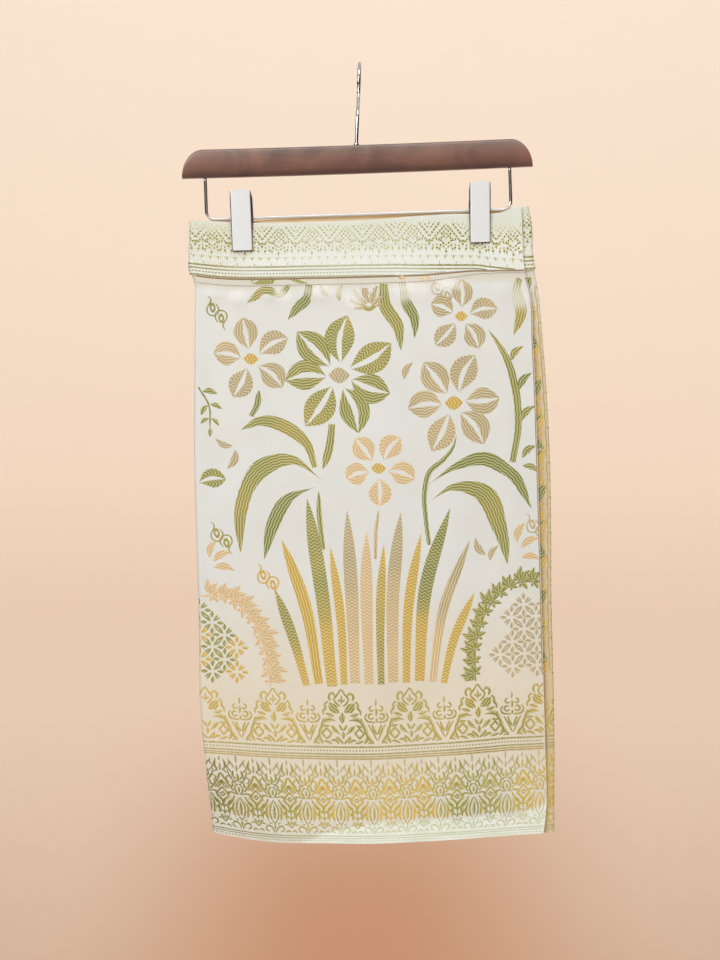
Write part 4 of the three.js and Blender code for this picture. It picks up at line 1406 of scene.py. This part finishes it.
def tube(path, radius, across, sides=14, roundEnds=True):
    # a circle carried along a flat path; across is the direction square to the path's plane.
    # Rounded ends are five shrinking circles on a half ball.
    heading = headingOf(path)
    radii = np.full(len(path), float(radius))
    if roundEnds:
        bend = np.linspace(0, np.pi / 2, 6)[:-1]
        lead, shrink = radius * np.cos(bend), radius * np.sin(bend)
        before = path[0] - heading[0] * lead[:, None]
        after = path[-1] + heading[-1] * lead[::-1, None]
        path = np.concatenate([before, path, after])
        ends = [np.repeat(heading[:1], len(lead), 0), heading, np.repeat(heading[-1:], len(lead), 0)]
        heading = np.concatenate(ends)
        radii = np.concatenate([np.maximum(shrink, 0.02), radii, np.maximum(shrink[::-1], 0.02)])
    across = np.broadcast_to(np.asarray(across, float), path.shape)
    return carriedCircle(path, across, np.cross(heading, across), radii, sides)


def arc(centre, radius, start, end, count):
    # points on a circle in a plane, angles in degrees
    angle = np.radians(np.linspace(start, end, count))
    return np.stack([centre[0] + radius * np.cos(angle), centre[1] + radius * np.sin(angle)], -1)


bar = {
    "length": 359.4, "height": 29.0, "depth": 13.0, "endRun": 22.0, "squareness": 5.0, "sag": 1.1,
    "endHeight": 0.4, "stations": 181, "sides": 72,
}


def addBar(material):
    # an upright squarish ring at every place along the bar. Its height follows a quarter
    # ellipse at each end, and the ring is a superellipse: |y|^n + |z|^n = 1.
    half = bar["length"] / 2
    x = half * np.sin(np.linspace(-np.pi / 2, np.pi / 2, bar["stations"]))
    inset = np.clip((np.abs(x) - half + bar["endRun"]) / bar["endRun"], 0, 1)
    height = np.maximum(bar["height"] * np.sqrt(1 - inset ** 2), bar["endHeight"])
    angle = np.arange(bar["sides"]) / bar["sides"] * tau
    power = 2 / bar["squareness"]
    ringY = bar["depth"] / 2 * np.sign(np.cos(angle)) * np.abs(np.cos(angle)) ** power
    ringZ = 0.5 + 0.5 * np.sign(np.sin(angle)) * np.abs(np.sin(angle)) ** power
    shrink = np.minimum(1, 0.55 + height / 12)
    rings = np.stack([np.repeat(x[:, None], bar["sides"], 1), ringY * shrink[:, None],
                      ringZ * height[:, None]], -1)
    rings[..., 2] -= bar["sag"] * (1 - (rings[..., 0] / half) ** 2)
    points, faces = outward(*ringSurface(rings))
    dress("bar_walnut", toFrame(points), faces, material, "hanger_bar")


hookSize = {
    "wire": 3.5, "innerRadius": 20.0, "tipAngle": 191, "leaveAngle": -60, "collarRadius": 2.6,
}


def addHook(material):
    # the hook curls over the rail in a plane across the bar, then turns down into the stem
    radius = hookSize["innerRadius"] + hookSize["wire"] / 2
    leave = np.radians(hookSize["leaveAngle"])
    leaveY, leaveZ = radius * np.cos(leave), -hookSize["innerRadius"] + radius * np.sin(leave)
    bend = leaveY / (1 - np.cos(leave))
    c, s = np.cos(hanging["tilt"]), np.sin(hanging["tilt"])
    barTop = np.array([hanging["x"] - bar["height"] * s, hanging["z"] + bar["height"] * c])
    stemLength = np.hypot(*barTop)
    curl = arc((0, -hookSize["innerRadius"]), radius, hookSize["tipAngle"], hookSize["leaveAngle"], 60)
    turn = arc((bend, leaveZ + bend * np.sin(leave)), bend, 180 + hookSize["leaveAngle"], 180, 16)[1:]
    stem = np.stack([np.zeros(8), np.linspace(turn[-1, 1] - 2, -stemLength - 2, 8)], -1)
    flat = np.concatenate([curl, turn, stem])
    path = np.stack([np.zeros(len(flat)), flat[:, 0], flat[:, 1]], -1)
    wire = tube(path, hookSize["wire"] / 2, (1, 0, 0), sides=20)
    collarPath = np.stack([np.zeros(4), np.zeros(4), -stemLength + np.array([1.0, 0.4, -0.8, -2.4])], -1)
    collar = tube(collarPath, hookSize["collarRadius"], (1, 0, 0), sides=20, roundEnds=False)
    points, faces = joinParts([wire, collar])
    lean = np.arctan2(-barTop[0], -barTop[1])
    x, y, z = points.T
    turned = np.stack([x * np.cos(lean) + z * np.sin(lean), y, -x * np.sin(lean) + z * np.cos(lean)], -1)
    dress("hook_wire", turned, faces, material, "hook")


wireFrame = {"wire": 3.3, "halfSpan": 156.2, "drop": 43.0, "bend": 9.0}


def addWireFrame(material):
    # down a leg, round a bend, along below the bar and up the other leg
    half, drop, bend = wireFrame["halfSpan"], wireFrame["drop"], wireFrame["bend"]
    legs = np.linspace(2, -drop + bend + 2, 8)
    left = np.stack([np.full(8, -half), legs], -1)
    right = np.stack([np.full(8, half), legs[::-1]], -1)
    run = np.stack([np.linspace(-half + bend + 2, half - bend - 2, 60), np.full(60, -drop)], -1)
    flat = np.concatenate([left, arc((-half + bend, -drop + bend), bend, 180, 270, 14), run,
                           arc((half - bend, -drop + bend), bend, 270, 360, 14), right])
    path = np.stack([flat[:, 0], np.zeros(len(flat)), flat[:, 1]], -1)
    points, faces = tube(path, wireFrame["wire"] / 2, (0, 1, 0), sides=20, roundEnds=False)
    dress("frame_wire", toFrame(points), faces, material, "wire_frame")


clip = {
    "width": 21.0, "top": 15.0, "foot": 76.4, "sheet": 1.0, "topOut": 9.6, "padTop": 53.0, "padIn": 1.0,
    "padWall": 1.4, "earDepth": 9.0, "corner": 0.5, "flange": 3.4,
    "springCoil": 2.35, "springWire": 1.0, "springTurns": 9, "springLength": 12.0, "teeth": 6,
    "toothWidth": 1.9, "toothDrop": 1.3, "padGap": 0.3, "gripGap": 0.4, "topRound": 0.9,
    "footRound": 1.6,
}
# Where each clip grips, how far its two folded sides are splayed, and how it leans.
clipPlaces = {"left": -120.5, "right": 124.8}
clipFlares = {"left": (0.16, 0.5), "right": (0.2, 0.2)}
clipLean = {"left": 0.006, "right": -0.03}


def gripAt(place):
    # half the opening of a jaw that closes on the panel and the band on it
    row = planAt(np.array([clip["foot"]]))
    return float(standOut(row, np.array([place]), row["front"])[0]) + cloth["bandTo"] + clip["gripGap"]


def plateFace(drop, grip):
    # how far out the plate lies: straight from its top to the pads at its foot
    share = (drop - clip["top"]) / (clip["foot"] - clip["top"])
    return mix(clip["topOut"], grip + clip["padWall"] + clip["padGap"], share)


def pressedPlate(side, grip, place, flares):
    # a bent section carried down the plate: a flat face, two rounded bends and two flanges that
    # are deep beside the wire and shallow at the foot. Corners at the top and foot are rounded.
    half, sheet = clip["width"] / 2, clip["sheet"]
    top, foot, topRound, footRound = (clip[key] for key in ("top", "foot", "topRound", "footRound"))
    quarter = np.linspace(0, np.pi / 2, 6)
    drop = np.concatenate([top + topRound * (1 - np.cos(quarter)), np.linspace(top + 2, foot - 3, 30),
                           foot - footRound * (1 - np.sin(quarter))])
    nearTop = np.clip((top + topRound - drop) / topRound, 0, 1)
    nearFoot = np.clip((drop - foot + footRound) / footRound, 0, 1)
    narrow = (topRound * (1 - np.sqrt(1 - nearTop ** 2))
              + footRound / 2 * (1 - np.sqrt(1 - nearFoot ** 2)))
    wire = wireFrame["drop"]
    deep = smoothStep(wire - 16, wire - 7, drop) * (1 - smoothStep(wire + 2, wire + 8, drop))
    flange = clip["flange"] * smoothStep(top + 1, top + 8, drop)
    flange *= 1 - 0.75 * smoothStep(wire + 4, foot - 12, drop)
    depth = np.maximum(flange, deep * clip["earDepth"])
    bend, r = quarter, clip["corner"]
    rows = []
    for out, radius in ((sheet, r + sheet), (0, r)):
        cornerX = half - sheet - r + radius * np.sin(bend)
        cornerY = out - radius * (1 - np.cos(bend))
        flangeX = np.full(4, cornerX[-1])
        flangeY = cornerY[-1] - np.linspace(0.25, 1, 4)[None, :] * np.maximum(depth - r, 0.05)[:, None]
        flatX = np.linspace(0, half - sheet - r, 6)[1:-1]
        x = np.concatenate([[0], flatX, cornerX, flangeX])
        y = np.concatenate([np.broadcast_to(np.full(len(flatX) + 1, out), (len(drop), len(flatX) + 1)),
                            np.broadcast_to(cornerY, (len(drop), len(cornerY))), flangeY], 1)
        rows.append((x, y))
    (xOut, yOut), (xIn, yIn) = rows
    x = np.concatenate([-xOut[::-1], xOut[1:], xIn[::-1], -xIn[1:]])
    y = np.concatenate([yOut[:, ::-1], yOut[:, 1:], yIn[:, ::-1], yIn[:, 1:]], 1)
    x = x[None, :] * (1 - narrow / half)[:, None]
    # each folded side leans outwards by its own share of its depth
    x = x + np.sign(x) * np.clip(-y - r, 0, 3) * np.where(x > 0, flares[1], flares[0])
    face = plateFace(drop, grip)[:, None]
    points = np.stack([x + place, side * (face + y), np.broadcast_to(-drop[:, None], x.shape)], -1)
    return outward(*ringSurface(points))


def block(low, high, soft=0.25):
    # a box with cut corners, whose top and bottom rings are drawn in by as much
    rings = []
    for cut, level in ((soft, low[2]), (0, low[2] + soft), (0, high[2] - soft), (soft, high[2])):
        x0, x1, y0, y1 = low[0] + cut, high[0] - cut, low[1] + cut, high[1] - cut
        c = soft
        rings.append([[x0 + c, y0, level], [x1 - c, y0, level], [x1, y0 + c, level], [x1, y1 - c, level],
                      [x1 - c, y1, level], [x0 + c, y1, level], [x0, y1 - c, level], [x0, y0 + c, level]])
    return outward(*ringSurface(np.array(rings)))


def toothedPad(side, grip, place):
    # a block between the plate and the cloth, with short teeth below the plate's foot
    half = clip["width"] / 2 - clip["padIn"]
    far = plateFace(clip["padTop"], grip) - clip["padGap"]
    outer = grip + clip["padWall"] - 0.05
    ys = sorted([side * grip, side * outer])
    body = block([place - half, ys[0], -clip["foot"]], [place + half, ys[1], -clip["padTop"]])
    points = body[0]
    # its outer face follows the plate
    lift = smoothStep(-clip["foot"], -clip["padTop"], points[:, 2]) * (far - outer)
    isOuter = np.abs(points[:, 1]) > (grip + outer) / 2
    points[:, 1] += side * lift * isOuter
    parts = [body]
    width = clip["toothWidth"]
    for x in np.linspace(-half, half - width, clip["teeth"]) + place:
        parts.append(block([x, ys[0] + 0.1, -clip["foot"] - clip["toothDrop"]],
                           [x + width, ys[1] - 0.1, -clip["foot"] + 1], 0.18))
    return joinParts(parts)


def springCoil(place):
    # a helix round the wire, with a short leg at each end that presses on a plate
    half = clip["springLength"] / 2
    turns = np.linspace(0, clip["springTurns"] * tau, clip["springTurns"] * 14)
    x = place + np.linspace(-half, half, len(turns))
    radius = clip["springCoil"]
    y, z = radius * np.cos(turns), -wireFrame["drop"] + radius * np.sin(turns)
    path = np.stack([x, y, z], -1)
    outwards = np.stack([np.zeros(len(x)), np.cos(turns), np.sin(turns)], -1)
    across = np.cross(headingOf(path), outwards)
    across /= np.linalg.norm(across, axis=1, keepdims=True)
    coil = carriedCircle(path, across, outwards, clip["springWire"] / 2, 8)
    legs = []
    for end, side in ((x[0], -1), (x[-1], 1)):
        foot = np.array([end, side * (clip["topOut"] - 2.6), -wireFrame["drop"] - 9])
        start = np.array([end, side * radius, -wireFrame["drop"]])
        legs.append(tube(start + np.linspace(0, 1, 6)[:, None] * (foot - start), clip["springWire"] / 2,
                         (1, 0, 0), sides=8))
    return joinParts([coil, *legs])


def addClips(steel, paintedSideShade, rubber, chrome):
    for name, place in clipPlaces.items():
        grip = gripAt(place)

        def hung(points):
            # leans the whole clip sideways about its top
            points = points.copy()
            points[:, 0] += clipLean[name] * (-points[:, 2] - clip["top"])
            return toFrame(points)

        for word, side in (("front", -1), ("back", 1)):
            points, faces = pressedPlate(side, grip, place, clipFlares[name])
            plate = dress(f"clip_{name}_{word}_pressed", hung(points), faces, steel,
                          f"clip_{name}_{word}_plate")
            # the folded sides are painted dark brown: painted shade, and a painted reflection of the brown
            # around them
            plate.data.materials.append(paintedSideShade)
            normals = np.zeros(3 * len(plate.data.polygons), np.float32)
            plate.data.polygons.foreach_get("normal", normals)
            aside = np.abs(normals[::3]) > 0.6
            plate.data.polygons.foreach_set("material_index", aside.astype(np.int32))
            points, faces = toothedPad(side, grip, place)
            dress(f"clip_{name}_{word}_teeth", hung(points), faces, rubber,
                  f"clip_{name}_{word}_pad")
        points, faces = springCoil(place)
        dress(f"clip_{name}_coil", hung(points), faces, chrome, f"clip_{name}_spring")
    print("hanger made")


def heightOnHanger(tree, low, high, start=0.0, end=1.0):
    # start at low and end at high above the bar's foot, measured square to the leaning bar
    s, c = np.sin(hanging["tilt"]), np.cos(hanging["tilt"])
    sockets = {0: objectPlace(tree), 1: (-s, 0, c)}
    height = addNode(tree, "VectorMath", sockets, operation="DOT_PRODUCT").outputs["Value"]
    foot = hanging["z"] * c - hanging["x"] * s
    low, high = ((foot + rise) * millimetre for rise in (low, high))
    return between(tree, height, low, high, start, end, "LINEAR")


# The wood's colours from the bar's foot to its top, darker at the foot as painted shade and
# greyer below the top as a painted highlight, how its smoke and fibres darken it, and how
# many clouds, fibres and pores there are in a metre along, through and up the bar.
walnut = {
    "woodAndPaintedLight": ((0.0, rgb(82, 44, 30)), (0.14, rgb(112, 72, 58)), (0.5, rgb(138, 98, 83)),
             (0.84, rgb(142, 118, 108)), (0.93, rgb(132, 110, 100)), (0.98, rgb(138, 74, 48))),
    "smoke": ((0.34, (0.64, 0.62, 0.61, 1)), (0.46, (0.85, 0.85, 0.85, 1)), (0.64, (1.16, 1.04, 0.98, 1))),
    "clouds": (19, 10, 24), "fibres": (26, 200, 420), "pores": (60, 900, 900), "fibreShare": 0.16,
    "poreDepth": 0.2, "roughness": 0.42, "lacquer": 0.5, "lacquerRoughness": 0.22,
}


def walnutMaterial():
    # brown wood, paler and greyer near its top as a painted highlight and darker at its foot as painted
    # shade, with faint fibres and smoky clouds
    material, tree = newMaterial("walnut")
    place = objectPlace(tree)
    # painted shade and highlight: the ramp darkens the foot and greys the top of the bar
    woodAndPaintedLight = rampOf(tree, heightOnHanger(tree, 0, bar["height"]), walnut["woodAndPaintedLight"])
    cloud = noiseOf(tree, place, walnut["clouds"], 4.0, 1.1)
    fibre = noiseOf(tree, place, walnut["fibres"], 3.0, 0.6)
    sockets = {0: walnut["fibreShare"], 2: cloud, 3: fibre}
    smoke = rampOf(tree, addNode(tree, "Mix", sockets, data_type="FLOAT").outputs[0], walnut["smoke"])
    bump = bumpOf(tree, noiseOf(tree, place, walnut["pores"], 2.0), walnut["poreDepth"] * millimetre, 0.25)
    finishShader(tree, {"Base Color": mixed(tree, 1.0, woodAndPaintedLight, smoke, "MULTIPLY"),
                        "Normal": bump.outputs["Normal"], "Roughness": walnut["roughness"],
                        "Coat Weight": walnut["lacquer"], "Coat Roughness": walnut["lacquerRoughness"]})
    return material


def metalMaterial(name, colour, roughness, grain, metallic=1.0, paintedReflectionBelow=None):
    # grain is how strongly fine brushing shows in the roughness. Below the given height on the
    # hanger the metal turns to a pale satin, a painted reflection that stands for the bright
    # reflection of the wire's lower run.
    material, tree = newMaterial(name)
    brush = noiseOf(tree, objectPlace(tree), (90, 90, 2600), 2.0)
    rough = between(tree, brush, 0, 1, roughness, roughness + grain, "LINEAR")
    # painted reflection: less metallic, so the lower run reads pale
    if paintedReflectionBelow is not None:
        metallic = heightOnHanger(tree, paintedReflectionBelow - 4, paintedReflectionBelow, 0.35, 1.0)
    finishShader(tree, {"Base Color": colour, "Roughness": rough, "Metallic": metallic})
    return material


def rubberMaterial():
    material, tree = newMaterial("darkPad")
    speckle = noiseOf(tree, objectPlace(tree), (900, 900, 900), 2.0)
    colour = rampOf(tree, speckle, [(0.3, rgb(84, 38, 26)), (0.7, rgb(112, 62, 46))])
    bump = bumpOf(tree, speckle, 0.1 * millimetre, 0.4)
    finishShader(tree, {"Base Color": colour, "Normal": bump.outputs["Normal"], "Roughness": 0.6})
    return material


# Camera, stage and lights

view = {"place": (0.0005, -2.3247, -0.4256), "lens": 85.0, "sensor": 36.0}


def addCamera():
    data = bpy.data.cameras.new("camera")
    data.lens = view["lens"]
    data.sensor_width = view["sensor"]
    camera = bpy.data.objects.new("camera", data)
    camera.location = view["place"]
    camera.rotation_euler = (np.pi / 2, 0, 0)
    bpy.context.scene.collection.objects.link(camera)
    bpy.context.scene.camera = camera


stage = {
    "radius": 4.6, "floor": -1.7, "bend": 0.9, "top": 3.4, "front": rgb(236, 235, 232),
    "rampFrom": -2, "rampTo": 1, "backY": (0.4, 2.0), "shadeX": (0.9, 0.05), "shadeZ": (-1.0, -1.7),
    "flagX": (1.1, 1.9), "flagTopZ": (2.6, 1.6), "flagFootZ": (-1.4, -0.9),
    # the wall's peach ramp darkens towards the floor as painted shade, and shade is a painted shadow low in
    # the middle
    "wall": ((-1.77, rgb(220, 194, 172)), (-1.1, rgb(245, 225, 206)), (-0.43, rgb(255, 238, 219)),
             (0.95, rgb(241, 226, 211))),
    "shade": rgb(205, 158, 128), "sides": rgb(84, 68, 62),
}


def studioPaint():
    # pale grey on the camera's side, peach behind the cloth, deeper towards the floor as painted shade
    material, tree = newMaterial("studioPaint")
    place = addNode(tree, "SeparateXYZ", {0: objectPlace(tree)}).outputs
    sums, ease, over = (partial(helper, tree) for helper in (calculate, between, mixed))
    low, high = stage["rampFrom"], stage["rampTo"]
    stops = [((z - low) / (high - low), colour) for z, colour in stage["wall"]]
    # painted shade: the peach darkens towards the floor
    peach = rampOf(tree, ease(place["Z"], low, high, kind="LINEAR"), stops)
    # painted shadow: a soft darker place low in the middle
    aside = sums("ABSOLUTE", place["X"])
    shade = sums("MULTIPLY", ease(aside, *stage["shadeX"]), ease(place["Z"], *stage["shadeZ"]))
    behind = over(shade, peach, stage["shade"])
    paint = over(ease(place["Y"], *stage["backY"]), stage["front"], behind)
    # dark flags at both sides, which the polished wire shows along its edges
    flags = sums("MULTIPLY", ease(aside, *stage["flagX"]), ease(place["Z"], *stage["flagTopZ"]))
    flags = sums("MULTIPLY", flags, ease(place["Z"], *stage["flagFootZ"]))
    finishShader(tree, {"Base Color": over(flags, paint, stage["sides"]), "Roughness": 0.9,
                        "Specular IOR Level": 0.1})
    return material


def addStage():
    # a round studio: a floor that turns up into a wall on all sides, open above
    angle = np.linspace(0, np.pi / 2, 12)
    bend = stage["bend"]
    radius = np.concatenate([[0.01, 1.5, 3.0], stage["radius"] - bend + bend * np.sin(angle),
                             [stage["radius"], stage["radius"]]])
    height = np.concatenate([np.full(3, stage["floor"]), stage["floor"] + bend - bend * np.cos(angle),
                             [1.0, stage["top"]]])
    turn = np.arange(96) / 96 * tau
    points = np.stack([radius[:, None] * np.cos(turn), radius[:, None] * np.sin(turn),
                       np.repeat(height[:, None], 96, 1)], -1).reshape(-1, 3)
    mesh = bpy.data.meshes.new("studio")
    mesh.from_pydata(points.tolist(), [], gridFaces(len(radius), 96, closedRound=True))
    mesh.shade_smooth()
    mesh.materials.append(studioPaint())
    studio = bpy.data.objects.new("studio", mesh)
    bpy.context.scene.collection.objects.link(studio)


# Each light: where it stands and looks, in metres, its sides, its watts and its colour.
lights = {
    "key": ((-1.7, -2.6, 1.1), (0, 0, -0.42), (1.3, 1.3), 46.5, (1.0, 0.99, 0.975)),
    "overhead": ((0.1, -1.3, 1.9), (0, 0, -0.3), (1.6, 0.9), 18, (1.0, 0.99, 0.98)),
    "fill": ((2.1, -2.5, 0.1), (0, 0, -0.5), (1.2, 2.0), 19.5, (1.0, 0.985, 0.97)),
    "backdrop": ((0.0, 1.6, 2.5), (0.1, 4.6, -0.1), (2.6, 1.0), 77, (1.0, 0.98, 0.96)),
    "behindLeft": ((-2.2, 2.6, 0.6), (0, 0, -0.4), (1.4, 1.4), 11, (1.0, 0.88, 0.76)),
    "behindRight": ((2.2, 2.4, 0.6), (0, 0, -0.4), (1.4, 1.4), 10, (1.0, 0.88, 0.76)),
}


def addLights():
    for name, (place, target, sides, watts, colour) in lights.items():
        data = bpy.data.lights.new(name, "AREA")
        data.shape = "RECTANGLE"
        data.size, data.size_y = sides
        data.energy = watts
        data.color = colour
        light = bpy.data.objects.new(name, data)
        light.location = place
        heading = Vector(target) - Vector(place)
        light.rotation_euler = heading.to_track_quat("-Z", "Y").to_euler()
        light.visible_glossy = name in ("key", "overhead")
        bpy.context.scene.collection.objects.link(light)
    world = bpy.data.worlds.new("softSky")
    world.use_nodes = True
    sky = world.node_tree.nodes["Background"]
    sky.inputs["Color"].default_value = (1.0, 0.985, 0.97, 1)
    sky.inputs["Strength"].default_value = 0.56
    bpy.context.scene.world = world
    bpy.context.scene.view_settings.view_transform = "Standard"
    print("camera, stage and lights made")


# How high and how low each kind of figure may reach, as drops in the middle of the cloth.
figureRows = {
    "field": (114.5, 526.0), "footRow": (528.0, 661.0), "lowerBorder": (600.4, 662.4),
    "hem": (662.8, 684.4), "tuck": (107.4, 113.8), "picots": (48.8, 52.0), "waistband": (50.2, 106.8),
}
# Where the field lies on the back and in the tuck, from where it lies on the front, and how far
# along the tuck it goes before the tuck is too narrow for it.
fieldPlaces = {"back": (-356.9, 0), "tuck": (55, 208), "tuckEnd": 250}


def addFigures(weft):
    # every figured piece with the name of the sheet it is woven into
    wall, band, hem = cloth["panelWall"] / 2, cloth["bandTo"], cloth["hemWall"] / 2
    middle, edge = pattern["middle"], cloth["frontSpan"]
    panels = {"front": (midLeft + 0.2, edge - 0.4), "back": (midRight + 0.2, midLeft - 0.2),
              "under": (underEnd + 1, midRight - 0.2)}
    bands = {"front": panels["front"], "back": (underEnd + 1, midLeft - 0.2)}
    field = fieldFigures()
    fields = {
        "front": field, "back": moved(field, fieldPlaces["back"]),
        "under": sideFigures(toUnder - 8 - middle, 122, 540),
    }
    made = []

    def lay(name, sheet, figures, base, span, rows, colours):
        piece = layFigures(name, figures, base, (*span, *figureRows[rows]), colours, weft)
        made.append((piece, sheet))
        print(name, sum(len(face.vertices) - 2 for face in piece.data.polygons), "triangles")

    for place, span in panels.items():
        panel = "under_wrap_cloth" if place == "under" else place + "_panel_cloth"
        low, high = span[0] - middle - 36, span[1] - middle + 36
        foot = figureRows["field"][1]
        shown = [strip for strip in fields[place] if -strip["centre"][:, 1].mean() <= foot]
        if place == "front":
            # the free edge's dark line, partly painted shadow
            shown.append(edgeLine(edge - 1.0, 115, 660, 1.1, "cord"))
        lay("field_figures_" + place, panel, shown, wall, span, "field", "foot")
        footRow = footRowFigures(low, high) + stripesBetween(*span)
        lay("foot_row_" + place, panel, footRow, wall, span, "footRow", "foot")
        border = lowerBorderFigures(low, high)
        lay("lower_border_" + place, panel, border, wall, span, "lowerBorder", "lower")
        border = border + hemFigures(low, high) + hemStripes(*span)
        sheet = "hem_" + place + "_cloth"
        lay("hem_figures_" + place, sheet, border, hem, span, "hem", "lower")
    for place, span in bands.items():
        sheet = "waistband_" + place + "_cloth"
        if place == "front":
            loops = picots(*span)
            lay("waistband_picots", sheet, loops, band, span, "picots", "waist")
            tucked = [strip for strip in moved(field, fieldPlaces["tuck"])
                      if strip["centre"][:, 0].max() + middle < fieldPlaces["tuckEnd"]]
            # painted shadow: a dark line under the waistband's foot
            tucked.append(lineAcross(2, edge - 1, 108.1, 1.0, "cord"))
            lay("tuck_figures", "front_panel_cloth", tucked, cloth["tuckTo"], (1.5, edge - 0.6), "tuck",
                "foot")
        figures = waistbandFigures(span[0] - middle - 20, span[1] - middle + 20) + bandStripes(*span)
        lay("waistband_figures_" + place, sheet, figures, band, span, "waistband", "waist")
    return made


addCamera()
addStage()
addLights()
ground = groundMaterial("creamSatin", "cream", "shade", shine=0.45)
border = groundMaterial("mintSatin", "mint", "mintShade", speck=0.3, lattice=0.9)
chrome = metalMaterial("chrome", rgb(226, 226, 228), 0.08, 0.06)
# the wire's lower run is a pale satin, a painted reflection
paintedReflectionChrome = metalMaterial("wireChrome", rgb(232, 231, 230), 0.08, 0.06, paintedReflectionBelow=6 - wireFrame["drop"])
steel = metalMaterial("satinSteel", rgb(246, 248, 250), 0.3, 0.1, metallic=0.25)
# dark brown for the folded sides of the clips: painted shade and reflection
clipSidesPaintedShade = metalMaterial("clipSidesPaintedShade", rgb(120, 84, 70), 0.35, 0.1, metallic=0.6)
rubber = rubberMaterial()
sheets = addClothShells(ground, border, reverseMaterial())
figures = addFigures(weftMaterial())
addBar(walnutMaterial())
addHook(chrome)
addWireFrame(paintedReflectionChrome)
addClips(steel, clipSidesPaintedShade, rubber, chrome)

# each sheet with what is woven into it; the tuck is sewn on the front panel
tuck, _ = sheets.pop("tuck_strip_cloth")
for name, (piece, flat) in sheets.items():
    sewnOn = [figure for figure, sheet in figures if sheet == name]
    if name == "front_panel_cloth":
        sewnOn.append(tuck)
